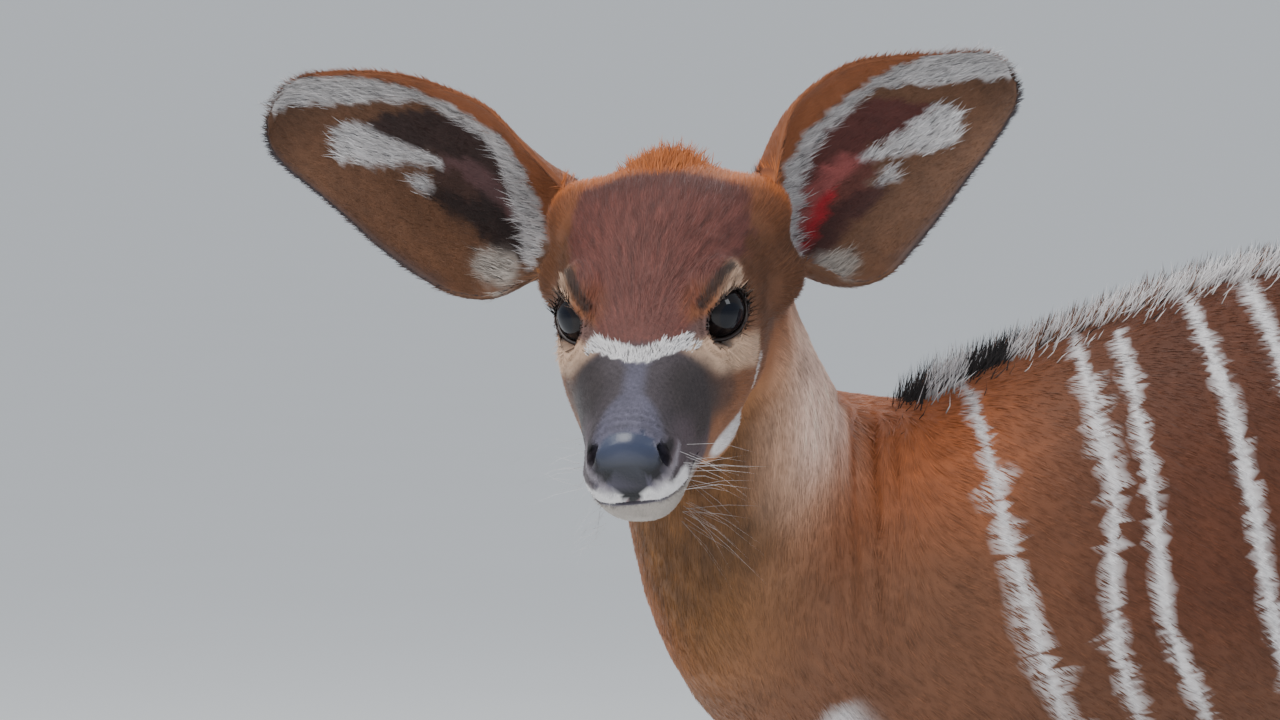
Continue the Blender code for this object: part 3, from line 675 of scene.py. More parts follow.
# Places in the head's frame with its right half folded onto its left one
def folded(q):
    return np.stack([q[:, 0], np.abs(q[:, 1]), q[:, 2]], axis=1)


# Places in an ear's frame: share of its length, towards its upper edge, out of its opening
def in_ear(points, which):
    aim, face, wide, root = as_arrays(ear_frame(which))
    upper = wide if wide[2] > 0 else -wide
    r = points - root
    return np.stack([r @ aim / EAR_LENGTH[which], r @ upper, r @ face], axis=1)


# %% [markdown]
# Where things are on the body. Soft weights say how far a point belongs to head, neck, legs or tail.
# %% Regions
# How far each point belongs to the head, the neck, the tail and a leg
def weights(points):
    p = np.asarray(points)
    top = np.array(Vector(NECK_TOP_NORMAL).normalized())
    base = np.array(Vector(NECK_BASE_NORMAL).normalized())
    head = fade((p - np.array(NECK_TOP)) @ top, -0.022, 0.016)
    head = np.where(np.linalg.norm(p - np.array(HEAD_PLACE), axis=1) < 0.19, head, 0.0)
    neck = ramp((p - np.array(NECK_BASE)) @ base, -0.030, 0.030) * (1 - head)
    tail = ramp(p[:, 0], 0.694, 0.708)
    low = np.where(p[:, 0] < MID_BODY, FORE_CUT, HIND_CUT)
    leg = fade(p[:, 2], low, low + 0.10) * (1 - tail) * (1 - head)
    return {"head": head, "neck": neck, "tail": tail, "leg": leg}


# %% [markdown]
# Markings. The calf's coat is chestnut with thin white stripes down the flank, an ochre neck,
# a dark bridge to the nose, a white chevron between the eyes and white lips. Each marking is a named
# shape on the body itself, so skin and hair can both be coloured from it, on either side. Some of the
# shapes are painted light and shade: shade low on the trunk, on the neck and round its folds, a shadow
# under the jaw, a sheen on the bridge, the nose's furrows and nostrils, the crease over each eye, the
# sky mirrored in the nose pad and a darker right ear.
# %% Coat colours
CHESTNUT = rgb(128, 84, 58)
CHESTNUT_DARK = rgb(95, 52, 31)
WITHERS = rgb(180, 100, 54)
OCHRE = rgb(180, 124, 72)
OCHRE_LIGHT = rgb(226, 182, 156)
WHITE = rgb(240, 236, 236)
BLACK = rgb(34, 28, 28)
FOREHEAD = rgb(142, 82, 68)
CHEEK = rgb(142, 94, 64)
# Painted sheen along the bridge of the nose
BRIDGE_SHEEN = rgb(98, 95, 112)
MUZZLE = rgb(72, 64, 68)
MAUVE = rgb(88, 74, 80)
MUZZLE_DARK = rgb(58, 50, 50)
TAN = rgb(216, 180, 152)
PALE = rgb(206, 196, 186)
PAD = rgb(30, 33, 44)
CROWN = rgb(190, 108, 56)
EAR_BACK = rgb(164, 98, 60)
EAR_OCHRE = rgb(104, 70, 48)
EAR_EDGE = rgb(62, 56, 60)
LEG_DARK = rgb(58, 42, 36)

# Stripes of the left flank, from front to back: corners at x, z
STRIPES = [
    [(0.186, 0.592), (0.192, 0.584), (0.204, 0.539), (0.210, 0.505), (0.219, 0.478), (0.232, 0.436),
     (0.244, 0.402), (0.252, 0.378)],
    [(0.252, 0.620), (0.257, 0.599), (0.264, 0.567), (0.272, 0.537), (0.271, 0.505), (0.271, 0.469),
     (0.273, 0.442), (0.287, 0.403), (0.296, 0.384)],
    [(0.277, 0.622), (0.281, 0.602), (0.288, 0.567), (0.294, 0.531), (0.297, 0.496), (0.301, 0.461),
     (0.313, 0.429), (0.326, 0.403), (0.336, 0.384)],
    [(0.316, 0.645), (0.325, 0.620), (0.336, 0.590), (0.344, 0.558), (0.351, 0.523), (0.357, 0.487),
     (0.366, 0.446), (0.378, 0.412), (0.386, 0.392)],
    [(0.350, 0.654), (0.356, 0.640), (0.365, 0.616), (0.378, 0.580), (0.388, 0.540), (0.394, 0.500),
     (0.402, 0.460), (0.414, 0.424)],
]
# Further stripes over loin and rump, which repeat the last one's shape, each shorter: step back, length
HIND_STRIPES = [(0.048, 0.98), (0.094, 0.95), (0.140, 0.92), (0.184, 0.90), (0.226, 0.84), (0.262, 0.70)]
STRIPE_HALF = 0.0023


# The corner lines of all stripes on one flank; the two flanks differ a little, as on a live calf
def stripe_lines(sign):
    lines = [np.array(line) for line in STRIPES]
    last = np.array(STRIPES[-1])
    for back, reach in HIND_STRIPES:
        line = last + np.array([back, -0.02 * back])
        keep = max(3, int(len(line) * reach))
        lines.append(line[:keep])
    if sign > 0:
        shifts = [(0.010 * math.sin(2.1 * i), 0.004 * math.cos(1.7 * i)) for i in range(len(lines))]
        lines = [line + np.array(shift) for line, shift in zip(lines, shifts)]
    return lines


# Weight of the white stripes at points of the trunk
def stripes(points):
    out = np.zeros(len(points))
    wobble = 0.0005 * ripple(points, 0.030, 31) + 0.0009 * ramp(points[:, 0], 0.31, 0.33)
    feather = 0.0004 * ripple(points, 0.0030, 32)
    for sign in (-1, 1):
        side = points[:, 1] * sign > 0
        flat = points[side][:, [0, 2]]
        best = np.full(len(flat), 1e9)
        for line in stripe_lines(sign):
            best = np.minimum(best, line_distance(flat, line))
        half = np.maximum(STRIPE_HALF + wobble[side] + feather[side], 0.0014)
        out[side] = fade(best, half * 0.70, half * 1.30)
    return out


# Weight inside a soft ellipsoid in the head's frame, mirrored to both sides
def spot(q, centre, sizes, soft=0.25):
    d = np.linalg.norm((folded(q) - np.array(centre)) / np.array(sizes), axis=1)
    return fade(d, 1 - soft, 1 + soft)


# An eye's opening as a ring: 1 on its edge, 2 at twice its size
def eye_ring(points):
    best = np.full(len(points), 9.0)
    for sign in (-1, 1):
        centre, out, slit = eye_frame(sign)
        r = points - np.array(centre)
        along, upright = r @ np.array(slit), r @ np.array(out.cross(slit))
        ring = np.hypot(along / (SLIT_LENGTH / 2), upright / (SLIT_HEIGHT / 2))
        best = np.where(r @ np.array(out) > 0.004, np.minimum(best, ring), best)
    return best


# Distance from the middle of the nose pad, at places ahead, aside and up in the head's frame
def nose_ring(places):
    return np.linalg.norm(places - np.array(NOSE_MIDDLE), axis=1)


# Height of the mouth line at places across the muzzle
def mouth_height(l):
    return lip_line(np.clip(l / 0.030, -1, 1))


# Soft band along a line of places in the head's frame, mirrored to both sides
def band(at, line, inner, outer):
    return fade(line_distance(at, line), inner, outer)


# Weight inside a soft ellipsoid at a place of the whole model
def spot_at(points, centre, sizes):
    return fade(np.linalg.norm((points - np.array(centre)) / np.array(sizes), axis=1), 0.4, 1.0)


# Colours of the trunk
def trunk_colour(p):
    x, y, z = p.T
    colour = mix(plain(CHESTNUT, p), CHESTNUT_DARK, ramp(x, 0.15, 0.32))
    colour = paint(colour, (
        (WITHERS, fade(x, 0.16, 0.27) * ramp(z, 0.47, 0.57) * 0.9),
        (OCHRE, fade(x, 0.03, 0.12) * 0.6),
        # Painted shade: the trunk is darker towards the belly, away from the light above
        (CHESTNUT * 0.85, 0.6 * fade(z, 0.40, 0.48)),
    ))
    colour = colour * (1 + 0.06 * ripple(p, 0.06, 41) + 0.03 * ripple(p * [0.4, 1, 0.7], 0.010, 42))[:, None]
    grain = np.stack([0.5 * x + 0.86 * z, 0.12 * (0.86 * x - 0.5 * z), y], axis=1)
    colour = colour * (1 + 0.08 * ripple(grain, 0.005, 43))[:, None]
    chest = fade(np.abs(z - 0.365 - 6.6 * y * y), 0.006, 0.012)
    colour = mix(colour, WHITE, chest * fade(x, 0.12, 0.15) * fade(np.abs(y), 0.070, 0.080))
    return mix(colour, WHITE, stripes(p) * 0.95 * ramp(x, 0.13, 0.16))


# Colours of the legs: dark fronts, white bands over knee and fetlock
def leg_colour(p):
    x, y, z = p.T
    fore = x < MID_BODY
    middle = np.where(fore, FORE_MIDDLE, HIND_MIDDLE)
    front = fade(x - middle, -0.012, 0.006)
    inside = fade(np.abs(y), 0.046, 0.058)
    colour = plain(CHESTNUT_DARK, p)
    colour = mix(colour, CHESTNUT, 0.5 * ramp(z, 0.1, 0.4))
    colour = mix(colour, LEG_DARK, front * fade(z, 0.24, 0.32) * 0.8)
    knee = np.where(fore, 0.215, 0.262)
    band = fade(np.abs(z - knee - 0.004 * ripple(p, 0.02, 5)), 0.010, 0.018)
    colour = mix(colour, LEG_DARK, band * 0.8)
    white = fade(np.abs(z - knee - 0.030), 0.008, 0.016)
    colour = mix(colour, WHITE, white * inside * 0.9)
    fetlock = fade(np.abs(z - 0.086), 0.010, 0.018)
    colour = mix(colour, WHITE, fetlock * (0.25 + 0.65 * front))
    colour = mix(colour, LEG_DARK, fade(z, 0.050, 0.064))
    return colour * (1 + 0.07 * ripple(p, 0.015, 43))[:, None]


# Grooves of the turned neck on its left side: x, depth; the skin swells between them
NECK_GROOVES = [(0.1130, 0.0018), (0.1220, 0.0026), (0.1350, 0.0028), (0.1465, 0.0012)]
GROOVE_WIDTH = 0.0022


# Where the neck's folds are, and their rise or fall there
def neck_folds(p):
    x, y, z = p.T
    side = fade(y, -0.035, -0.015) * ramp(z, 0.41, 0.48) * fade(z, 0.585, 0.625)
    bend = x - 0.7 * (z - 0.52) ** 2 - 0.0015 * np.sin(z * 40)
    rise = 0.0012 * ramp(bend, 0.085, 0.115) * fade(bend, 0.150, 0.165)
    for at, depth in NECK_GROOVES:
        rise = rise - depth * np.exp(-((bend - at) / GROOVE_WIDTH) ** 2)
    return rise, side


# Colours of the neck: ochre, partly darkened as painted shade, with a painted highlight on the ridges of its
# folds, painted shade in their grooves and a painted shadow on the throat under the jaw
def neck_colour(p):
    x, y, z = p.T
    streaks = ramp(ripple(p * [1, 1, 0.2], 0.016, 44), 0.0, 1.2)
    # The neck's base tone is a dark ochre, partly its own colour and partly painted shade
    colour = mix(plain(OCHRE * [0.33, 0.31, 0.27], p), OCHRE * 0.7, streaks * 0.30)
    side = ramp(x, 0.050, 0.095) * fade(y, -0.08, -0.04) * ramp(z, 0.43, 0.53)
    colour = paint(colour, (
        (OCHRE_LIGHT, side * (0.55 + 0.35 * ramp(z, 0.50, 0.58))),
        (rgb(244, 206, 188), side * ramp(x, 0.080, 0.100) * ramp(z, 0.52, 0.57) * 0.85),
        # Painted shadow on the throat under the jaw
        (OCHRE * 0.28, spot_at(p, (0.055, -0.16, 0.500), (0.062, 0.12, 0.030)) * 0.8),
    ))
    rise, there = neck_folds(p)
    # Painted shade in the grooves of the neck's folds and a painted highlight on the ridges between them
    colour = mix(colour, rgb(88, 50, 32), there * ramp(-rise, 0.0, 0.0014) * 0.9)
    colour = mix(colour, OCHRE_LIGHT * 0.92, there * ramp(rise, 0.0006, 0.0012) * 0.35)
    nape = ramp(y, -0.085, -0.02)
    colour = mix(colour, WITHERS, nape * 0.7)
    colour = colour * (1 + 0.14 * ripple(p * [1, 1, 0.10], 0.007, 49))[:, None]
    return colour * (1 + 0.07 * ripple(p, 0.03, 45))[:, None]


# Lines of the face's marks: ahead, aside, up in the head's frame
FACE_LINES = {
    "tan": [(0.038, 0.032, -0.002), (0.031, 0.042, -0.012), (0.012, 0.0500, -0.019), (-0.004, 0.055, -0.028)],
    "streak": [(-0.0160, 0.0480, 0.0215), (-0.0060, 0.0445, 0.0225), (0.0063, 0.0395, 0.0208),
               (0.0150, 0.0325, 0.0140)],
    "corner": [(0.0225, 0.0345, 0.0040), (0.0290, 0.0305, 0.0035)],
    "nostril": [(0.0990, 0.0235, -0.0235), (0.1075, 0.0195, -0.0243), (0.1115, 0.0168, -0.0300),
                (0.1138, 0.0150, -0.0375)],
    "wing": [(0.0940, 0.0275, -0.0285), (0.1024, 0.0255, -0.0320), (0.1085, 0.0220, -0.0350),
             (0.1125, 0.0178, -0.0400), (0.1140, 0.0130, -0.0440)],
    "cheek": [(-0.0152, 0.0556, -0.0400), (-0.0095, 0.0535, -0.0481), (-0.0120, 0.0495, -0.0600)],
    "jaw": [(0.010, 0.0440, -0.0660), (0.026, 0.0420, -0.0640), (0.042, 0.0380, -0.0640)],
}
# Half width of the forehead's dark field, and the chevron's place ahead, at places of the head
FOREHEAD_EDGE = [(-0.095, 0.044), (-0.057, 0.052), (-0.036, 0.0500), (0.000, 0.0400), (0.021, 0.0300),
                 (0.050, 0.028)]
CHEVRON = [(0.0, 0.0482), (0.0043, 0.0478), (0.0135, 0.0441), (0.0198, 0.0402), (0.0265, 0.0353),
           (0.031, 0.0320)]


# Light and dark strands of the forehead's hair, which fan out from the chevron
def fan_strands(at, p):
    spread = np.clip((at[:, 0] + 0.09) / 0.14, 0, 1)
    side = in_head(p)[:, 1] * np.exp(1.75 * spread * spread)
    return ripple(np.stack([side, at[:, 0] * 0.12, at[:, 2] * 0.05], axis=1), 0.0034, 57)


# Colours of the upper head: temples, forehead, brows and the chevron
def brow_colour(p, at, colour):
    f, side, u = at.T
    edges = np.array(FOREHEAD_EDGE)
    edge = np.interp(f, edges[:, 0], edges[:, 1]) + 0.0015 * ripple(p, 0.010, 55)
    temple = EAR_BACK * [0.36, 0.42, 0.46]
    colour = mix(colour, temple, ramp(-f, 0.000, 0.030) * ramp(u, -0.060, -0.030))
    colour = mix(colour, EAR_BACK * 0.62, ramp(-f, 0.045, 0.080) * ramp(u, -0.005, 0.030))
    fore = fade(side, edge - 0.004, edge + 0.003) * ramp(u, -0.015, 0.004) * fade(f, 0.040, 0.050)
    deep = FOREHEAD * [0.54, 0.56, 0.62]
    fan = fan_strands(at, p)
    colour = mix(colour, deep, fore)
    colour = mix(colour, WITHERS * 0.5, spot(at, (0.012, 0.030, 0.012), (0.016, 0.010, 0.012), 0.4) * 0.45)
    colour = colour * (1 + 0.20 * fan * fore)[:, None]
    colour = paint(colour, (
        (deep * 0.75, fore * ramp(-f, 0.060, 0.068) * fade(-f, 0.078, 0.086) * 0.8),
        (CROWN, ramp(-f, 0.076, 0.088) * ramp(u, 0.0, 0.025)),
        (TAN * 0.92, spot(at, (-0.006, 0.0505, 0.0140), (0.020, 0.011, 0.009), 0.35) * 0.95),
        (TAN, band(at, FACE_LINES["tan"], 0.0060, 0.0135) * 0.95),
    ))
    return colour


# Colours of the muzzle: dark patches, a painted sheen down the bridge as a paler bluish lane, furrows over
# the nose with painted shade in their troughs and painted highlight on their crests, lighter wings and
# painted shade in the nostrils
def muzzle_colour(p, at, colour):
    f, side, u = at.T
    muzzle = ramp(f + 0.30 * u, 0.039, 0.047)
    colour = paint(colour, (
        (MAUVE, muzzle * ramp(u, -0.064, -0.052)),
        (MUZZLE, muzzle * ramp(u, -0.048, -0.036)),
        (MUZZLE_DARK, spot(at, (0.058, 0.030, -0.020), (0.025, 0.018, 0.023), 0.35) * 0.9),
        (MUZZLE_DARK, spot(at, (0.037, 0.042, -0.030), (0.014, 0.010, 0.012), 0.45) * 0.65),
    ))
    # A painted sheen down the bridge: a paler bluish lane between the dark patches
    sheen_lane = np.interp(f, [0.048, 0.056, 0.075, 0.085, 0.100], [0.011, 0.0055, 0.0060, 0.0140, 0.0200])
    in_sheen = fade(side, sheen_lane - 0.004, sheen_lane + 0.004)
    colour = mix(colour, BRIDGE_SHEEN, muzzle * ramp(f, 0.046, 0.056) * in_sheen * 0.85)
    colour = mix(colour, MAUVE, spot(at, (0.088, 0.027, -0.030), (0.018, 0.008, 0.012), 0.5) * 0.8)
    colour = colour * (1 + 0.16 * muzzle * ripple(p, 0.0022, 58))[:, None]
    # The furrows over the nose are painted darker in their troughs and lighter on their crests: painted shade
    # and painted highlight
    r = nose_ring(at)
    furrow = np.sin(r * 2 * math.pi / FURROW_STEP + 0.5 * ripple(p, 0.012, 53))
    furrow = furrow * ramp(r, 0.021, 0.024) * fade(r, 0.036, 0.042) * ramp(u, -0.030, -0.020)
    colour = colour * (1 + 0.15 * furrow)[:, None]
    colour = mix(colour, rgb(158, 150, 158), band(at, FACE_LINES["wing"], 0.0010, 0.0034) * 0.8)
    # Painted shade in the nostrils
    return mix(colour, rgb(22, 19, 22), band(at, FACE_LINES["nostril"], 0.0018, 0.0040) * 0.9)


# Colours of the head
def head_colour(p):
    q = in_head(p)
    f, l, u = q.T
    at = folded(q)
    side = at[:, 1]
    colour = mix(plain(CHEEK, p), OCHRE, fade(u, -0.082, -0.060))
    colour = brow_colour(p, at, colour)
    colour = muzzle_colour(p, at, colour)
    rows = np.array(CHEVRON)
    chevron = np.abs(f - np.interp(side, rows[:, 0], rows[:, 1]) + 0.0006 * ripple(p, 0.006, 51))
    chevron = fade(chevron, 0.0036, 0.0056) * fade(side, 0.0265, 0.0290) * ramp(u, -0.012, -0.004)
    speckle = 0.45 * fade(side, 0.003, 0.011) * (ripple(p, 0.0025, 52) > 0.15)
    colour = mix(colour, WHITE, chevron * (0.95 - speckle))
    mouth = mouth_height(l)
    lip = ramp(u - mouth, -0.001, 0.0005) * fade(u - mouth, 0.0075, 0.0100) * ramp(f, 0.090, 0.098)
    colour = mix(colour, WHITE, lip * ramp(side, 0.002, 0.006) * 0.95)
    parting = lip * fade(side, 0.002, 0.005) * fade(u - mouth, 0.001, 0.003)
    colour = mix(colour, rgb(150, 96, 96), parting)
    chin = fade(u - mouth, -0.0025, -0.0005) * ramp(f, 0.066, 0.086)
    colour = paint(colour, (
        (PALE * 0.68, chin * 0.95),
        (WHITE, band(at, FACE_LINES["cheek"], 0.0020, 0.0042) * 0.9),
        (WHITE, band(at, FACE_LINES["jaw"], 0.0035, 0.0095) * 0.9),
    ))
    colour = colour * (1 + 0.06 * ripple(p, 0.02, 46) + 0.05 * ripple(p, 0.004, 47))[:, None]
    ring = eye_ring(p) + 0.03 * ripple(p, 0.006, 54)
    colour = mix(colour, rgb(104, 80, 78), band(at, FACE_LINES["corner"], 0.0030, 0.0080) * 0.8)
    colour = mix(colour, rgb(58, 44, 44), fade(ring, 1.05, 1.20) * 0.9)
    # Painted shade along the crease above each eye
    crease = fade(np.abs(ring - 1.46), 0.03, 0.09) * ramp(u, 0.006, 0.014)
    colour = mix(colour, rgb(96, 66, 54), crease * 0.55)
    return mix(colour, BLACK, band(at, FACE_LINES["streak"], 0.0020, 0.0044) * 0.85)


# Half width of the nose pad at heights in the head's frame: broad at the nostrils, a point at the lip
PAD_HALF = np.array([(-0.0530, -0.002), (-0.0520, 0.003), (-0.0450, 0.0075), (-0.0370, 0.0115),
                     (-0.0300, 0.0155), (-0.0250, 0.0180), (-0.0180, 0.0150), (-0.0140, 0.0090),
                     (-0.0120, -0.002)])


# Weight of the moist pad between the nostrils
def pad(points):
    f, l, u = in_head(points).T
    half = np.interp(u, PAD_HALF[:, 0], PAD_HALF[:, 1])
    return fade(np.abs(l), half - 0.0008, half + 0.0008) * ramp(f, 0.096, 0.098)


# Marks in the cup of an ear, each a line of places: share of the length, place across, half width
EAR_LINES = {
    "white": [(0.05, -0.026, 0.0080), (0.13, -0.009, 0.0115), (0.20, 0.008, 0.0115), (0.27, 0.022, 0.0080),
              (0.33, 0.0285, 0.0052), (0.40, 0.0325, 0.0038), (0.50, 0.0375, 0.0030), (0.60, 0.0375, 0.0034),
              (0.70, 0.0325, 0.0072), (0.80, 0.0250, 0.0100), (0.90, 0.0180, 0.0090), (1.00, 0.0080, 0.0100)],
    "cup": [(0.08, -0.024, 0.0040), (0.18, -0.014, 0.0120), (0.28, -0.003, 0.0170), (0.38, 0.002, 0.0190),
            (0.45, 0.004, 0.0130), (0.50, 0.006, 0.0020)],
    "hollow": [(0.24, 0.008, 0.0050), (0.34, 0.017, 0.0100), (0.42, 0.0200, 0.0120), (0.54, 0.0185, 0.0135),
               (0.66, 0.0110, 0.0080), (0.74, 0.006, 0.0010)],
    "flesh": [(0.16, -0.014, 0.0030), (0.28, 0.000, 0.0060), (0.36, 0.004, 0.0060), (0.46, 0.003, 0.0020)],
    "canal": [(0.11, -0.025, 0.0010), (0.18, -0.018, 0.0036), (0.26, -0.010, 0.0036), (0.33, -0.004, 0.0008)],
    "slit": [(0.08, -0.030, 0.0020), (0.16, -0.028, 0.0060), (0.26, -0.020, 0.0075), (0.36, -0.018, 0.0065),
             (0.46, -0.016, 0.0020)],
    "ridge": [(0.45, 0.002, 0.0010), (0.52, 0.000, 0.0040), (0.60, -0.003, 0.0070), (0.68, -0.004, 0.0105),
              (0.75, -0.004, 0.0110), (0.79, -0.003, 0.0020)],
}
# Tones of each ear's hollow, bare flesh and canal; the right ear's are darker copies of the same tones,
# painted shade
EAR_TONES = {"left": (rgb(92, 46, 40), rgb(160, 84, 80), rgb(176, 26, 40)),
             "right": (rgb(54, 34, 30), rgb(98, 68, 68), rgb(38, 22, 20))}


# Weight of a mark that follows its line along the ear
def ear_band(name, s, v):
    rows = np.array(EAR_LINES[name])
    off = np.abs(v - np.interp(s, rows[:, 0], rows[:, 1]))
    half = np.interp(s, rows[:, 0], rows[:, 2], left=0.0, right=0.0)
    return fade(off, half - 0.0012, half + 0.0012) * ramp(half, 0.0002, 0.0014)


# Colours of an ear, inside and out
def ear_colour(p, normals, which):
    s, v, _ = in_ear(p, which).T
    face = np.array(ear_frame(which)[1])
    rows = np.array(EAR[which])
    half = np.interp(s, rows[:, 0], rows[:, 1])
    t = (v + np.interp(s, rows[:, 0], rows[:, 2])) / np.maximum(half, 0.004)
    inside = ramp(normals @ face + 0.35 * np.clip(t * t, 0, 1), -0.05, 0.15)
    s = s + 0.008 * ripple(p, 0.012, 62)
    v = v + 0.0012 * ripple(p, 0.010, 61)
    dark, flesh_tone, canal = EAR_TONES[which]
    inner = plain(EAR_OCHRE, p)
    inner = paint(inner, (
        (EAR_OCHRE * 0.6, ramp(s, 0.80, 0.95) * 0.7),
        (dark * 1.2, ear_band("cup", s, v) * 0.85),
        (dark, ear_band("hollow", s, v)),
        (flesh_tone, ear_band("flesh", s, v) * 0.9),
        (dark * 0.55, ear_band("slit", s, v) * 0.95),
        (canal, ear_band("canal", s, v) * 0.95),
    ))
    lines = np.array(EAR_LINES["white"])
    top = np.interp(s, lines[:, 0], lines[:, 1] + lines[:, 2])
    inner = paint(inner, (
        (EAR_BACK * 0.8, ramp(v - top, -0.0010, 0.0016) * ramp(0.93 - s, 0.0, 0.04)),
        (WHITE * 0.74, ear_band("white", s, v) * 0.92),
        (WHITE * 0.80, ear_band("ridge", s, v) * 0.95),
    ))
    flat = np.stack([s, v, s * 0], axis=1)
    inner = mix(inner, WHITE * 0.70, spot_at(flat, (0.48, -0.0130, 0), (0.055, 0.0042, 1)))
    inner = mix(inner, PALE * 0.75, spot_at(flat, (0.15, -0.0400, 0), (0.10, 0.0110, 1)))
    margin = fade(t, -1.02, -0.90) * ramp(s, 0.20, 0.35)
    inner = mix(inner, EAR_EDGE, margin * 0.8)
    back = mix(plain(EAR_BACK, p), EAR_EDGE, ramp(s, 0.72, 0.98) * 0.5)
    back = mix(back, CROWN, fade(s, 0.0, 0.25) * 0.6)
    colour = mix(back, inner, inside)
    strand = ripple(np.stack([s * 0.02, v, s * 0], axis=1), 0.0022, 50)
    return colour * (1 + 0.07 * ripple(p, 0.015, 48) + 0.10 * strand)[:, None]


# Colour of any point of the skin; ear is 0 off the ears, 1 on the left one and 2 on the right one
def markings(points, normals, ear):
    w = weights(points)
    colour = trunk_colour(points)
    colour = paint(colour, (
        (leg_colour(points), w["leg"]),
        (neck_colour(points), w["neck"]),
        (head_colour(points), w["head"]),
        (CHESTNUT, w["tail"] * 0.8),
    ))
    height = in_head(points)[:, 2]
    # The nose pad: a painted reflection of the sky, bluish and lighter, on its upper part, and painted shade,
    # darker, on its lower part
    pad_shade_and_sky_reflection = mix(plain(PAD * 0.3, points), rgb(54, 62, 88), ramp(height, -0.034, -0.018))
    colour = mix(colour, pad_shade_and_sky_reflection, pad(points))
    for k, which in ((1, "left"), (2, "right")):
        on = ear == k
        if on.any():
            colour[on] = ear_colour(points[on], normals[on], which)
    return np.clip(colour, 0.0, 1.0)


# %% [markdown]
# The lie of the coat. Hair grows back from the muzzle, up the bridge and out over the forehead,
# down the neck and along the trunk, and down the legs. Each direction is a simple field on the body.
# %% Lie of the coat
# The way that the hair points, along the skin
def lie(points, normals, ear):
    ahead, left, up = as_arrays(head_axes())
    w = weights(points)
    x, y, z = points.T
    flow = mix(plain((0.86, 0.0, -0.50), points), (1.0, 0.0, -0.15), ramp(z, 0.56, 0.64))
    flow = mix(flow, (0.35, 0.0, -0.94), ramp(x, 0.52, 0.66))
    flow = mix(flow, (0.25, 0.0, -0.97), fade(x, 0.06, 0.14))
    path = np.array(smooth_rows(NECK, 60))
    near = np.argmin(((points[:, None, :] - path[None, ::4, :3]) ** 2).sum(axis=2), axis=1) * 4
    down_neck = unit(path[np.clip(near - 3, 0, 59), :3] - path[np.clip(near + 3, 0, 59), :3])
    flow = mix(flow, down_neck, w["neck"])
    _, folds = neck_folds(points)
    flow = mix(flow, (0.06, 0.0, -1.0), folds * fade(x, 0.15, 0.18) * ramp(x, 0.05, 0.08))
    flow = mix(flow, (0.10, 0.0, -1.0), w["leg"])
    flow = mix(flow, (0.0, 0.0, -1.0), w["tail"])
    q = in_head(points)
    fan = np.clip(q[:, 1] / 0.05, -1, 1) * ramp(q[:, 0], -0.09, 0.05) * ramp(q[:, 2], -0.02, 0.01)
    sink = fade(q[:, 2], -0.04, 0.0) * 0.45
    face = -ahead + left * (1.25 * fan)[:, None] - up * sink[:, None]
    for sign in (-1, 1):
        centre, out, _ = eye_frame(sign)
        middle = np.array(centre + out * EYE_RADIUS)
        away = points - middle
        gap = np.linalg.norm(away, axis=1)
        face = face + unit(away) * (1.6 * fade(gap, 0.016, 0.034))[:, None]
    lips = ramp(q[:, 0], 0.085, 0.105)[:, None]
    face = face * (1 - 0.6 * lips) - up * 0.4 * lips
    flow = mix(flow, face, w["head"])
    for k, which in ((1, "left"), (2, "right")):
        on = ear == k
        aim, _, wide, root = as_arrays(ear_frame(which))
        v = (points[on] - root) @ wide
        flow[on] = aim + wide * np.clip(v / 0.05, -1, 1)[:, None] * 0.45
    swirl = np.cross(normals, flow)
    flow = flow + swirl * (0.07 * ripple(points, 0.04, 71))[:, None]
    flow = flow - normals * (flow * normals).sum(axis=1)[:, None]
    return unit(flow)


# %% [markdown]
# The skin. The flesh is drawn in by the depth of the coat, and small forms are raised on it: brows,
# nostril wings, folds under the eyes, the furrows above the nose and the folds of the turned neck.
# %% Skin
COAT_DEPTH = {"trunk": 0.0024, "head": 0.0010, "leg": 0.0012, "ear": 0.0004}
# Small forms of the face: forward, across, up in the head's frame, reach, height
FACE_FORMS = [
    (0.1060, 0.0235, -0.0240, 0.0060, 0.0020),
    (0.1080, 0.0225, -0.0360, 0.0060, 0.0016),
    (0.1060, 0.0000, -0.0180, 0.0100, 0.0022),
    (0.1110, 0.0120, -0.0300, 0.0060, 0.0010),
    (0.1135, 0.0000, -0.0430, 0.0045, -0.0016),
    (0.1080, 0.0150, -0.0490, 0.0070, 0.0018),
    (0.0150, 0.0300, 0.0150, 0.0090, 0.0020),
    (-0.0250, 0.0540, 0.0080, 0.0140, -0.0028),
    (0.0420, 0.0330, -0.0350, 0.0160, -0.0018),
    (0.0900, 0.0270, -0.0450, 0.0100, 0.0016),
    (0.0280, 0.0310, 0.0010, 0.0060, -0.0014),
    (0.0450, 0.0000, -0.0010, 0.0140, -0.0012),
    (-0.0250, 0.0000, 0.0330, 0.0200, 0.0012),
]


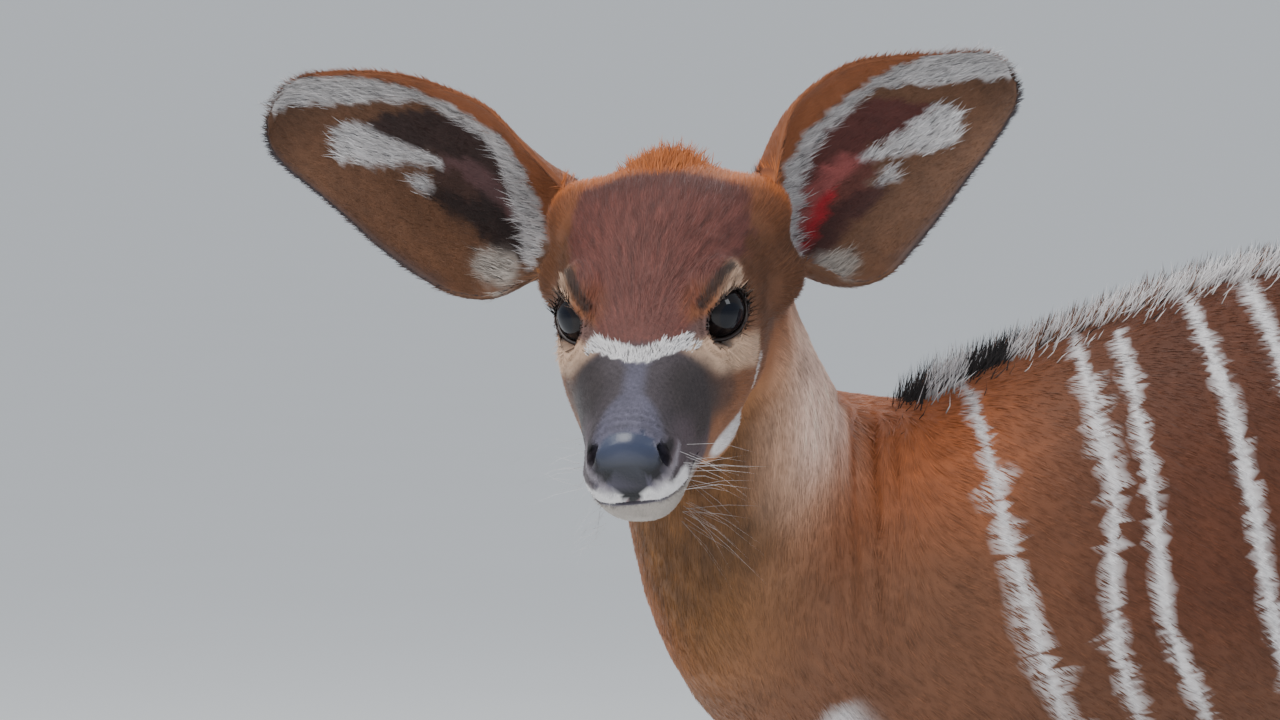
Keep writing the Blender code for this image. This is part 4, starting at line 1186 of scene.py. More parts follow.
# Rise or fall of the hide over the flesh, at points of the skin
def surface_offsets(points, ear):
    w = weights(points)
    depth = COAT_DEPTH["trunk"] * (1 - w["head"]) * (1 - w["leg"]) + COAT_DEPTH["leg"] * w["leg"]
    depth = depth + COAT_DEPTH["head"] * w["head"]
    depth = np.where(ear > 0, COAT_DEPTH["ear"], depth)
    rise = -depth
    q = in_head(points)
    mirrored = folded(q)
    for f, l, u, reach, height in FACE_FORMS:
        gap = np.linalg.norm(mirrored - np.array([f, l, u]), axis=1)
        rise = rise + height * np.exp(-(gap / reach) ** 2) * w["head"] * (ear == 0)
    fold, there = neck_folds(points)
    rise = rise + fold * there * (1 - w["head"])
    r, eye_edge = nose_ring(mirrored), eye_ring(points)
    furrow = np.sin(r * 2 * math.pi / FURROW_STEP) * ramp(r, 0.021, 0.024) * fade(r, 0.034, 0.040)
    rise = rise + 0.00045 * furrow * ramp(q[:, 2], -0.026, -0.018) * w["head"] * (ear == 0)
    lid = np.sin((eye_edge - 1.20) * 2 * math.pi / 0.26) * ramp(eye_edge, 1.10, 1.20)
    return rise + 0.00040 * lid * fade(eye_edge, 1.5, 1.8) * w["head"] * (ear == 0)


# A property of all vertices, edges, corners or faces as one array
def values(elements, name, width=1, kind="i"):
    out = np.empty(len(elements) * width, kind)
    elements.foreach_get(name, out)
    return out.reshape(-1, width) if width > 1 else out


# Vertices, normals and triangles of a mesh as arrays
def arrays(mesh):
    mesh.calc_loop_triangles()
    places, facing_ = (values(mesh.vertices, name, 3, "f").astype(float) for name in ("co", "normal"))
    return places, facing_, values(mesh.loop_triangles, "vertices", 3)


# Colour attribute of a mesh, one colour for each vertex
def set_tint(mesh, colours, name="tint"):
    layer = mesh.color_attributes.new(name=name, type="FLOAT_COLOR", domain="POINT")
    data = np.ones((len(mesh.vertices), 4), "f")
    data[:, :3] = colours
    layer.data.foreach_set("color", data.ravel())


# The remesh's step, and the shares of triangles kept where the skin is plain and where it is marked
SKIN_VOXEL = 0.0013
PLAIN_SHARE = 0.045
FINE_SHARE = 0.35


# Evens out chosen vertices by steps towards their neighbours' middle
def soften(thing, chosen, rounds):
    mesh = thing.data
    places, _, _ = arrays(mesh)
    edges = values(mesh.edges, "vertices", 2)
    a, b = edges[chosen[edges].any(axis=1)].T
    n = len(places)
    count = np.maximum(np.bincount(a, minlength=n) + np.bincount(b, minlength=n), 1)[:, None]
    for _ in range(rounds):
        sums = [np.bincount(a, places[b, k], n) + np.bincount(b, places[a, k], n) for k in range(3)]
        middle = np.stack(sums, axis=1) / count
        places[chosen] += 0.5 * (middle[chosen] - places[chosen])
    mesh.vertices.foreach_set("co", places.ravel().astype("f"))
    mesh.update()


# The regions that keep a fine skin: the face, and then the head's back, the neck's folds and the stripes
def skin_regions(points):
    q = in_head(points)
    near = np.linalg.norm(points - np.array(HEAD_PLACE), axis=1) < (HEAD_PLACE - NECK_TOP).length * 1.15
    folds = (points[:, 0] > 0.098) & (points[:, 0] < 0.158) & (points[:, 1] < -0.02)
    folds &= (points[:, 2] > 0.41) & (points[:, 2] < 0.63)
    striped = (stripes(points) > 0.01) & (points[:, 0] > 0.15) & (np.abs(points[:, 1]) > 0.01)
    return near & (q[:, 0] > -0.030) & (q[:, 2] > -0.09), near | folds | striped


# Thins chosen parts of a mesh to a share of their triangles
def thin_part(thing, name, chosen, share):
    faces = arrays(thing.data)[2]
    inside = int(chosen[faces].all(axis=1).sum())
    thing.vertex_groups.new(name=name).add(np.nonzero(chosen)[0].tolist(), 1.0, "REPLACE")
    return thin_out(thing, int(len(faces) - inside * (1 - share)), name)


# The whole skin with its openings, and the places of the two ears' points
def build_skin():
    whole = flesh(SKIN_VOXEL)
    q = in_head(arrays(whole.data)[0])
    back = (q[:, 0] < -0.028) & (np.abs(q[:, 1]) > 0.022) & (np.abs(q[:, 1]) < 0.12)
    soften(whole, back & (q[:, 0] > -0.14) & (q[:, 2] > -0.070) & (q[:, 2] < 0.08), 200)
    face, fine = skin_regions(arrays(whole.data)[0])
    skin = thin_part(whole, "plain", ~(face | fine), PLAIN_SHARE)
    face, fine = skin_regions(arrays(skin.data)[0])
    skin = thin_part(skin, "middle", fine & ~face, FINE_SHARE)
    skin.name = "skin"
    skin.vertex_groups.clear()
    boolean(skin, [slit_cutter(-1)], "DIFFERENCE", "MANIFOLD")
    boolean(skin, [slit_cutter(1)], "DIFFERENCE", "MANIFOLD")
    for sign in (-1, 1):
        socket = ball("socket", eye_frame(sign)[0], (EYE_RADIUS + 0.0002,) * 3, None, 32, 48)
        boolean(skin, [socket], "DIFFERENCE", "MANIFOLD")
    boolean(skin, [mouth_cutter()], "DIFFERENCE", "MANIFOLD")
    boolean(skin, nostril_cutters(), "DIFFERENCE", "MANIFOLD")
    ear_places = []
    for which in ("left", "right"):
        made = ear(which)
        ear_places.append(arrays(made.data)[0])
        boolean(skin, [made], "UNION", "MANIFOLD")
    return skin, ear_places


# Which ear each vertex belongs to: 0 for neither, 1 for the left, 2 for the right
def ear_marks(points, ear_places):
    marks = np.zeros(len(points), int)
    for k, places in enumerate(ear_places):
        tree = kdtree.KDTree(len(places))
        for i, place in enumerate(places):
            tree.insert(place, i)
        tree.balance()
        close = np.nonzero(np.linalg.norm(points - places.mean(axis=0), axis=1) < EAR_LENGTH["right"])[0]
        for i in close:
            if tree.find(points[i])[2] < 0.00002:
                marks[i] = k + 1
    return marks


skin, ear_places = build_skin()
co, normals, tris = arrays(skin.data)
ear_of = ear_marks(co, ear_places)
co = co + normals * surface_offsets(co, ear_of)[:, None]
skin.data.vertices.foreach_set("co", co.ravel().astype("f"))
skin.data.update()
co, normals, tris = arrays(skin.data)
# The hide is painted darker than its markings: painted shade under the coat
set_tint(skin.data, markings(co, normals, ear_of) * 0.88)
wet = skin.data.attributes.new("wet", "FLOAT", "POINT")
dewy = 0.38 + 0.62 * ramp(in_head(co)[:, 2], -0.033, -0.026)
wet.data.foreach_set("value", (pad(co) * dewy).astype("f"))
print("skin triangles", len(tris), "ear points", int((ear_of > 0).sum()))

# %% [markdown]
# An unwrap of the hide: each part of the body is rolled out round its own line, like a hide from a
# tanner's knife, and gets its own place on the square.
# %% Unwrap
# Charts: left, bottom, width, height on the square
CHARTS = {
    "trunk": (0.02, 0.50, 0.60, 0.48), "head": (0.66, 0.72, 0.32, 0.26), "neck": (0.66, 0.46, 0.32, 0.22),
    "leg0": (0.02, 0.02, 0.11, 0.44), "leg1": (0.16, 0.02, 0.11, 0.44), "leg2": (0.30, 0.02, 0.11, 0.44),
    "leg3": (0.44, 0.02, 0.11, 0.44), "tail": (0.58, 0.02, 0.05, 0.40),
    "ear1": (0.66, 0.02, 0.15, 0.40), "ear2": (0.83, 0.02, 0.15, 0.40),
}


# The chart of each point, as an index into CHARTS
def chart_of(points, ear):
    names = list(CHARTS)
    w = weights(points)
    out = np.zeros(len(points), int)
    out[w["neck"] > 0.5] = names.index("neck")
    out[w["head"] > 0.5] = names.index("head")
    leg = w["leg"] > 0.5
    which = (points[:, 0] > MID_BODY).astype(int) * 2 + (points[:, 1] > 0).astype(int)
    out[leg] = (names.index("leg0") + which)[leg]
    out[w["tail"] > 0.5] = names.index("tail")
    for k in (1, 2):
        out[ear == k] = names.index("ear%d" % k)
    return out


# Place on the square of points, given their charts
def unwrap(points, normals, chart):
    names = list(CHARTS)
    uv = np.zeros((len(points), 2))
    for i, name in enumerate(names):
        on = chart == i
        if not on.any():
            continue
        p, n = points[on], normals[on]
        if name == "trunk":
            along, round_ = p[:, 0] / 0.72, np.arctan2(p[:, 1], p[:, 2] - 0.50)
        elif name == "head":
            q = in_head(p)
            along, round_ = (q[:, 0] + 0.13) / 0.26, np.arctan2(q[:, 1], q[:, 2] + 0.035)
        elif name == "neck":
            along, round_ = (p[:, 2] - 0.40) / 0.32, np.arctan2(p[:, 0] - 0.07, -(p[:, 1] + 0.05))
        elif name.startswith("leg"):
            fore, right = int(name[3]) < 2, int(name[3]) % 2
            middle = (FORE_MIDDLE if fore else HIND_MIDDLE, LEG_ASIDE if right else -LEG_ASIDE)
            along, round_ = p[:, 2] / 0.48, np.arctan2(p[:, 1] - middle[1], p[:, 0] - middle[0])
        elif name == "tail":
            along, round_ = (p[:, 2] - 0.38) / 0.25, np.arctan2(p[:, 1], p[:, 0] - 0.716)
        else:
            which = "left" if name == "ear1" else "right"
            e = in_ear(p, which)
            face = np.array(ear_frame(which)[1])
            front = (n @ face > 0).astype(float)
            along = (e[:, 0] + 0.15) / 1.20
            round_ = ((e[:, 1] / 0.13 + 0.5) * 0.48 + 0.50 * front) * 2 * math.pi - math.pi
        left_, low, wide, tall = CHARTS[name]
        across = round_ / (2 * math.pi) + 0.5
        if name == "trunk":
            uv[on] = np.stack([left_ + wide * along, low + tall * across], axis=1)
        else:
            uv[on] = np.stack([left_ + wide * across, low + tall * along], axis=1)
    return uv


# The skin's own map: each face whole in one chart, with no face torn across a seam
def map_skin(mesh):
    loops = values(mesh.loops, "vertex_index")
    starts, totals = values(mesh.polygons, "loop_start"), values(mesh.polygons, "loop_total")
    face_of = np.repeat(np.arange(len(starts)), totals)
    charts = chart_of(co, ear_of)
    first = charts[loops[starts]][face_of]
    uv = unwrap(co[loops], normals[loops], first)
    base = uv[starts][face_of]
    box = np.array(list(CHARTS.values()))[first]
    axis = np.where(first == 0, 1, 0)
    rows = np.arange(len(uv))
    width = np.where(first == 0, box[:, 3], box[:, 2])
    gap = uv[rows, axis] - base[rows, axis]
    uv[rows, axis] -= np.round(gap / width) * width
    layer = mesh.uv_layers.new(name="OFBake")
    layer.data.foreach_set("uv", uv.ravel().astype("f"))


map_skin(skin.data)
print("charts on the map", len(CHARTS))

# %% [markdown]
# Fur. Each tuft is a thin closed blade that leans along the lie of the coat. Short flat hair is a
# straight blade with three sides and a point; long hair has a ring more, so that it can bend.
# %% Tufts
# Half the size of a tuft's patch on the map
PATCH_HALF = 0.0014
# Each kind of tuft: its faces, and for each corner its painted shade, darker at the root and lighter at the
# tip, its place on the patch, its share of the way to the tip, and the side that it is on
STRAIGHT = {
    "faces": np.array([(0, 1, 2), (0, 3, 1), (1, 3, 2), (0, 2, 3)]),
    "shade": np.array([0.86, 0.86, 0.90, 1.12]),
    "patch": np.array([(-1, -1), (1, -1), (0, -1), (0, 1)]) * PATCH_HALF,
    "reach": np.array([0, 0, 0, 1]),
    "side": np.array([-1, 1, 0, 0]),
}
BENT = {
    "faces": np.array([(0, 1, 2), (0, 3, 4), (0, 4, 1), (1, 4, 5), (1, 5, 2), (0, 2, 5), (0, 5, 3),
                       (3, 6, 4), (4, 6, 5), (3, 5, 6)]),
    "shade": np.array([0.72, 0.72, 0.76, 0.98, 0.98, 1.02, 1.14]),
    "patch": np.array([(-1, -1), (1, -1), (0, -1), (-1, 0), (1, 0), (0, 0), (0, 1)]) * PATCH_HALF,
    "reach": np.array([0, 0, 0, 0.6, 0.6, 0.6, 1]),
    "side": np.array([-1, 1, 0, -1, 1, 0, 0]),
}


# Vertices of straight tufts
def straight_tufts(roots, normals, ways, lengths, widths, lifts, draw):
    sides = unit(np.cross(ways, normals))
    width = widths[:, None]
    start = roots - normals * 0.0006
    turn = draw.uniform(-0.12, 0.12, (len(roots), 1))
    out = np.empty((len(roots), 4, 3))
    out[:, 0] = start - sides * width * 0.5
    out[:, 1] = start + sides * width * 0.5
    out[:, 2] = start + normals * width * 0.5
    out[:, 3] = roots + (ways + sides * turn + normals * lifts[:, None]) * lengths[:, None]
    return out


# Vertices of bent tufts
def tufts(roots, normals, ways, lengths, widths, lifts, curls, draw):
    count = len(roots)
    sides = unit(np.cross(ways, normals))
    length, width = lengths[:, None], widths[:, None]
    lift, curl = lifts[:, None], curls[:, None]
    start = roots - normals * 0.0008
    middle = roots + ways * length * 0.5 + normals * (length * 0.5 * lift)
    middle = middle + sides * (length * draw.uniform(-0.06, 0.06, (count, 1)))
    tip = roots + ways * length + normals * (length * (lift - curl))
    tip = tip + sides * (length * draw.uniform(-0.14, 0.14, (count, 1)))
    out = np.empty((count, 7, 3))
    out[:, 0] = start - sides * width * 0.5
    out[:, 1] = start + sides * width * 0.5
    out[:, 2] = start + normals * width * 0.45
    out[:, 3] = middle - sides * width * 0.42
    out[:, 4] = middle + sides * width * 0.42
    out[:, 5] = middle + normals * width * 0.30
    out[:, 6] = tip
    return out


# A mesh object of many tufts, coloured from root to tip with painted shade, darker at the root and lighter at
# the tip, with their map; it catches light like the hide it lies on, each tuft a little rounded across
def tuft_object(name, kind, verts, facing_, roots_tint, tips_tint, uvs, material):
    count, corners = verts.shape[:2]
    across = unit(verts[:, 1] - verts[:, 0])
    mesh = bpy.data.meshes.new(name)
    mesh.vertices.add(count * corners)
    mesh.vertices.foreach_set("co", verts.reshape(-1).astype("f"))
    faces = (kind["faces"][None] + (np.arange(count) * corners)[:, None, None]).reshape(-1, 3)
    mesh.loops.add(len(faces) * 3)
    mesh.loops.foreach_set("vertex_index", faces.reshape(-1).astype("i"))
    mesh.polygons.add(len(faces))
    mesh.polygons.foreach_set("loop_start", np.arange(0, len(faces) * 3, 3, dtype="i"))
    mesh.polygons.foreach_set("use_smooth", np.ones(len(faces), bool))
    mesh.update(calc_edges=True)
    reach = kind["reach"][None, :, None]
    tint = roots_tint[:, None, :] * (1 - reach) + tips_tint[:, None, :] * reach
    # Painted shade along each tuft: darker at the root, lighter at the tip
    tint = tint * kind["shade"][None, :, None]
    set_tint(mesh, np.clip(tint.reshape(-1, 3), 0, 1))
    uv = (uvs[:, None, :] + kind["patch"][None]).reshape(-1, 2)[faces.reshape(-1)]
    layer = mesh.uv_layers.new(name="OFBake")
    layer.data.foreach_set("uv", uv.ravel().astype("f"))
    mesh.materials.append(material)
    tilt = np.random.default_rng(count).normal(0, 0.16, (count, 1, 3))
    shading = facing_[:, None, :] + tilt + across[:, None, :] * (0.50 * kind["side"])[None, :, None]
    mesh.normals_split_custom_set_from_vertices(unit(shading.reshape(-1, 3)).astype("f"))
    return add_object(name, mesh)


# Hair length, tuft width and how many per square metre, at points of the skin
def coat_sizes(points, ear):
    w = weights(points)
    x, y, z = points.T
    q = in_head(points)
    length = 0.0085 + 0.003 * fade(x, 0.15, 0.25) * ramp(z, 0.48, 0.56)
    width = np.full(len(points), 0.00090)
    length = np.where(w["leg"] > 0.3, 0.0070 - 0.003 * fade(z, 0.04, 0.20), length)
    width = np.where(w["leg"] > 0.3, 0.00068, width)
    length = length * (1 - w["neck"]) + 0.0085 * w["neck"]
    width = width * (1 - w["neck"]) + 0.00080 * w["neck"]
    face = 0.0032 + 0.0052 * ramp(-q[:, 0], -0.05, -0.01) + 0.004 * ramp(-q[:, 0], 0.07, 0.11)
    length = length * (1 - w["head"]) + face * w["head"]
    width = width * (1 - w["head"]) + (0.00042 + 0.00016 * ramp(-q[:, 0], -0.05, 0.02)) * w["head"]
    length = np.where(ear > 0, 0.0058, length)
    width = np.where(ear > 0, 0.00052, width)
    density = np.where(w["head"] > 0.3, 8.5, 1.0)
    density = np.where((w["neck"] > 0.4) & (w["head"] <= 0.3), 2.2, density)
    density = np.where(w["leg"] > 0.3, 1.4, density)
    density = np.where(ear > 0, 3.6, density)
    front = fade(x, 0.42, 0.55) * (1 - w["head"])
    density = density * (1 + 0.5 * front)
    return length, width, density


# Random roots on the skin, closer together where the hair is short: places, normals, ears, and the draw
def sow(count, seed):
    draw = np.random.default_rng(seed)
    a, b, c = co[tris[:, 0]], co[tris[:, 1]], co[tris[:, 2]]
    areas = np.linalg.norm(np.cross(b - a, c - a), axis=1) / 2
    middles = (a + b + c) / 3
    ear_tri = ear_of[tris].min(axis=1)
    _, _, density = coat_sizes(middles, ear_tri)
    share = areas * density * (1 - pad(middles)) * open_skin(middles)
    pick = draw.choice(len(tris), size=count, p=share / share.sum())
    u, v = draw.random((2, count))
    flip = u + v > 1
    u, v = np.where(flip, 1 - u, u), np.where(flip, 1 - v, v)
    m = np.stack([1 - u - v, u, v], axis=1)[:, :, None]
    points = (co[tris[pick]] * m).sum(axis=1)
    return points, unit((normals[tris[pick]] * m).sum(axis=1)), ear_tri[pick], draw


# Hair grows everywhere but inside the eye openings, the nostrils and the mouth
def open_skin(points):
    out = np.ones(len(points))
    for sign in (-1, 1):
        gap = np.linalg.norm(points - np.array(eye_frame(sign)[0]), axis=1)
        out *= ramp(gap, EYE_RADIUS + 0.0014, EYE_RADIUS + 0.0018)
    q = in_head(points)
    nostril = np.linalg.norm((folded(q) - NOSTRIL) / [0.009, 0.0075, 0.0100], axis=1)
    out *= ramp(nostril, 0.9, 1.0)
    mouth = np.abs(q[:, 2] - mouth_height(q[:, 1]))
    out *= np.where(q[:, 0] > 0.05, ramp(mouth, 0.0006, 0.0014), 1.0)
    hoof = ramp(points[:, 2], 0.018, 0.024)
    return out * hoof


# Tufts in all, and in one piece
COAT_TUFTS = 300000
PIECE_TUFTS = 48000

# %% [markdown]
# Materials. Colour comes from the markings held on the mesh; the maths here adds what is finer than
# a vertex: pores, grain, wet shine, horn rings and the dark glass of the eye.
# %% Materials
class Sock:
    """A node socket that can be used in sums."""

    def __init__(self, tree, socket):
        self.tree = tree
        self.socket = socket

    # Any node by type, with its options and its inputs by name or place
    def node(self, kind, inputs=(), output=0, **options):
        made = self.tree.nodes.new(kind)
        for key, value in options.items():
            setattr(made, key, value)
        for key, value in dict(inputs).items():
            if isinstance(value, Sock):
                self.tree.links.new(value.socket, made.inputs[key])
            else:
                made.inputs[key].default_value = value
        return Sock(self.tree, made.outputs[output])

    # Soft noise at these coordinates, from 0 to 1
    def noise(self, scale, detail):
        sizes_ = {"Vector": self, "Scale": scale, "Detail": detail}
        return self.node("ShaderNodeTexNoise", sizes_, output="Fac")

    # Colour between two others, by this factor
    def blend(self, low, high):
        return self.node("ShaderNodeMix", {"Factor": self, 6: low, 7: high}, output=2, data_type="RGBA")

    # Normals of a surface that is raised by this height
    def bump(self, strength, distance):
        return self.node("ShaderNodeBump", {"Height": self, "Strength": strength, "Distance": distance},
                         output="Normal")

    def maths(self, operation, a, b):
        return self.node("ShaderNodeMath", {0: a, 1: b}, operation=operation)

    def __add__(self, other):
        return self.maths("ADD", self, other)

    def __radd__(self, other):
        return self.maths("ADD", other, self)

    def __sub__(self, other):
        return self.maths("SUBTRACT", self, other)

    def __rsub__(self, other):
        return self.maths("SUBTRACT", other, self)

    def __mul__(self, other):
        return self.maths("MULTIPLY", self, other)

    def __rmul__(self, other):
        return self.maths("MULTIPLY", other, self)

    def __truediv__(self, other):
        return self.maths("DIVIDE", self, other)

    def __pow__(self, other):
        return self.maths("POWER", self, other)


# A new material with its shader and a starting socket of object coordinates
def shader(name, **numbers):
    made = bpy.data.materials.get(name) or bpy.data.materials.new(name)
    made.use_nodes = True
    tree = made.node_tree
    surface = tree.nodes["Principled BSDF"]
    for key, value in numbers.items():
        surface.inputs[key.replace("_", " ").title()].default_value = value
    start = Sock(tree, tree.nodes.new("ShaderNodeTexCoord").outputs["Object"])
    return made, surface, start


# Feeds an input of the surface from a socket
def link(value, surface, name):
    value.tree.links.new(value.socket, surface.inputs[name])


# Hide and hair share one recipe; the hide has more grain in its bump
def coat_material(name, grain, depth, roughness):
    made, surface, place = shader(name)
    tint = place.node("ShaderNodeAttribute", output="Color", attribute_name="tint")
    wet_ = place.node("ShaderNodeAttribute", output="Fac", attribute_name="wet")
    fine = place.noise(grain, 3.0)
    level = 0.90 + (fine * 0.6 + place.noise(60.0, 2.0) * 0.4) * 0.20
    scaled = place.node("ShaderNodeVectorMath", {0: tint, "Scale": level}, operation="SCALE")
    link(scaled, surface, "Base Color")
    rough = roughness - wet_ * (roughness - 0.34)
    link(rough, surface, "Roughness")
    link(wet_ * wet_ * 0.8, surface, "Coat Weight")
    surface.inputs["Coat Roughness"].default_value = 0.36
    pebble = place.node("ShaderNodeTexVoronoi", {"Vector": place, "Scale": 620.0}, output="Distance")
    height = fine * (1.0 - wet_) + pebble * wet_ * (1.06 - wet_) * 3.0
    link(height.bump(0.55, depth), surface, "Normal")
    surface.inputs["Specular IOR Level"].default_value = 0.35
    surface.inputs["Sheen Weight"].default_value = 0.12
    surface.inputs["Sheen Roughness"].default_value = 0.4
    return made


hide = coat_material("hide", 900.0, 0.0006, 0.62)
hair = coat_material("hair", 500.0, 0.0002, 0.55)
print("materials", hide.name, hair.name)
skin.data.materials.clear()
skin.data.materials.append(hide)
skin.data.polygons.foreach_set("material_index", np.zeros(len(skin.data.polygons), "i"))

# %% [markdown]
# Sowing the coat over the whole skin, then splitting it by its order into pieces of a handy size.
# %% Coat
points, facing, on_ear, draw = sow(COAT_TUFTS, 3)
order = np.lexsort((points[:, 2], chart_of(points, on_ear)))
points, facing, on_ear = points[order], facing[order], on_ear[order]
lengths, widths, _ = coat_sizes(points, on_ear)
ways = lie(points, facing, on_ear)
lengths = lengths * draw.uniform(0.72, 1.22, len(points)) * (1 - 0.45 * ramp(stripes(points), 0.0, 0.4))
widths = widths * draw.uniform(0.75, 1.3, len(points))
variety = draw.uniform(0.78, 1.22, (len(points), 1)) + 0.05 * ripple(points, 0.004, 83)[:, None]
stray = draw.normal(0, 1, (len(points), 3)) * np.where(on_ear > 0, 0.0012, 0.0005)[:, None]
roots_tint = markings(points + ways * lengths[:, None] * 0.35 + stray, facing, on_ear) * variety
tips_tint = markings(points + ways * lengths[:, None] * 0.65 + stray, facing, on_ear) * variety
lifts = 0.085 + 0.02 * ripple(points, 0.012, 81) + draw.uniform(-0.03, 0.05, len(points))
blades = straight_tufts(points, facing, ways, lengths, widths, np.maximum(lifts, 0.04), draw)
places = unwrap(points, facing, chart_of(points, on_ear))
coat = []
for k, first in enumerate(range(0, len(points), PIECE_TUFTS)):
    part = slice(first, first + PIECE_TUFTS)
    coat.append(tuft_object("coat_%d" % k, STRAIGHT, blades[part], facing[part], roots_tint[part],
                            tips_tint[part], places[part], hair))
sown = {"points": points, "facing": facing, "ways": ways, "tint": roots_tint, "ear": on_ear}
print("coat pieces", len(coat), "tufts", len(points))

# %% [markdown]
# Long hair: the bristly crest down the back, the crown tuft between the ears, and the tail's tuft.
# %% Crest, crown and tail hair
# Long bent hairs as one piece, with colours of their own for the tips where these are given
def long_hair(name, roots, normals_, ways_, lengths_, width, colours_, lift, curl, seed, tips_=None):
    draw_ = np.random.default_rng(seed)
    n = len(roots)
    normals_ = unit(normals_)
    blades_ = tufts(roots, normals_, unit(ways_), lengths_, np.full(n, width), np.full(n, lift),
                    np.full(n, curl), draw_)
    tips_ = colours_ if tips_ is None else tips_
    places_ = unwrap(roots, normals_, chart_of(roots, np.zeros(n, int)))
    return tuft_object(name, BENT, blades_, normals_, colours_, tips_, places_, hair)


# The crest's reach along the trunk, its hairs, their length and their width
CREST = {"start": 0.140, "end": 0.662, "count": 8000, "length": 0.0175, "width": 0.00080}


# Crest colours along the back, at root and tip: black at the withers with one white tuft, then white-tipped
def crest_colours(x, draw_):
    n = len(x)
    white = 0.70 + 0.14 * ripple(np.stack([x, x * 0, x * 0], axis=1), 0.02, 91)
    white = white + 0.15 * np.exp(-((x - 0.345) / 0.015) ** 2) - 0.30 * ramp(x, 0.45, 0.6)
    white = np.where((x > 0.168) & (x < 0.186), 0.92, white)
    white = np.where((x < 0.165) | ((x > 0.188) & (x < 0.211)), 0.04, white)
    pick = (draw_.random(n) < white)[:, None]
    black = (draw_.random(n) < 0.10 + 0.85 * fade(x, 0.208, 0.222))[:, None]
    dark = np.where(black, BLACK, CHESTNUT * 0.85)
    vary = draw_.uniform(0.85, 1.10, (n, 1))
    root = np.where(pick, WHITE * 0.28 + dark * 0.50, dark)
    return root * vary, np.where(pick, WHITE, dark) * vary


# The crest stands along the top line, upright in front and more laid back towards the tail
def crest_hair():
    draw_ = np.random.default_rng(21)
    n = CREST["count"]
    x = draw_.uniform(CREST["start"], CREST["end"], n)
    rows = np.array(smooth_rows(TRUNK, 200))
    y = np.where(draw_.random(n) < 0.35, draw_.normal(0, 0.0130, n), draw_.normal(0, 0.0050, n))
    z = np.interp(x, rows[:, 0], rows[:, 1]) - 0.0045 - 8.0 * y * y
    lean = np.clip(draw_.normal(0.50, 0.17, n) - 0.18 * fade(x, 0.17, 0.22), 0.05, 1.0)
    aim = np.stack([np.sin(lean), y / 0.009 * 0.45 + draw_.normal(0, 0.08, n), np.cos(lean)], axis=1)
    normals_ = unit(np.stack([draw_.normal(0, 0.3, n), np.sign(y), np.full(n, 0.35)], axis=1))
    taper = np.minimum(1.0, np.minimum(0.75 + (x - CREST["start"]) * 14, 0.4 + (CREST["end"] - x) * 6))
    front = 0.010 * np.exp(-((x - 0.148) / 0.030) ** 2)
    lengths_ = (CREST["length"] + 0.004 + front) * taper * draw_.uniform(0.55, 1.10, n)
    root_tint, tip_tint = crest_colours(x, draw_)
    roots = np.stack([x, y, z], axis=1)
    return long_hair("crest", roots, normals_, aim, lengths_, CREST["width"], root_tint, -0.05, -0.12, 22,
                     tip_tint)


# The short tuft between the ears
def crown_hair():
    draw_ = np.random.default_rng(23)
    n = 2400
    ahead, left, up = as_arrays(head_axes())
    across = draw_.normal(0, 0.55, n).clip(-1.3, 1.3)
    f = -0.088 + draw_.normal(0, 0.007, n)
    roots = np.array(HEAD_PLACE) + f[:, None] * ahead + (0.021 * across)[:, None] * left
    roots = roots + (0.0375 - 0.0030 * across ** 2 - 6.0 * (f + 0.085) ** 2)[:, None] * up
    aim = up * 0.60 - ahead * 0.70 + left * (0.30 * across + draw_.normal(0, 0.2, n))[:, None]
    aim = aim + ahead * draw_.normal(0, 0.15, (n, 1))
    normals_ = unit(ahead * 0.7 + up * 0.7 + draw_.normal(0, 0.1, (n, 3)))
    lengths_ = 0.0175 * draw_.uniform(0.5, 1.05, n) * (1 - 0.30 * across ** 2).clip(0.4, 1)
    colours_ = CROWN * draw_.uniform(0.7, 1.25, (n, 1))
    return long_hair("crown", roots, normals_, aim, lengths_, 0.0006, colours_, 0.02, 0.22, 24)


# The tuft round the end of the tail
def tail_hair():
    draw_ = np.random.default_rng(25)
    n = 2600
    path = np.array(smooth_rows(TAIL, 200))
    height = draw_.uniform(0.402, 0.462, n)
    near = path[np.argmin(np.abs(path[None, :, 2] - height[:, None]), axis=1)]
    turn = draw_.uniform(0, 2 * math.pi, n)
    out = np.stack([np.cos(turn), np.sin(turn), np.zeros(n)], axis=1)
    roots = near[:, :3] + out * near[:, 3:4] * 0.8
    aim = np.array([-0.03, 0, -1.0]) + out * draw_.uniform(0.08, 0.30, (n, 1))
    lengths_ = 0.078 * draw_.uniform(0.55, 1.05, n)
    dark = ramp(0.45 - height, -0.01, 0.03)[:, None]
    colours_ = (CHESTNUT_DARK * (1 - dark) + BLACK * dark) * draw_.uniform(0.8, 1.3, (n, 1))
    return long_hair("tail_tuft", roots, out, aim, lengths_, 0.0011, colours_, 0.02, 0.14, 26)


crest, crown, tail_tuft = crest_hair(), crown_hair(), tail_hair()
print("crest, crown and tail hair made")

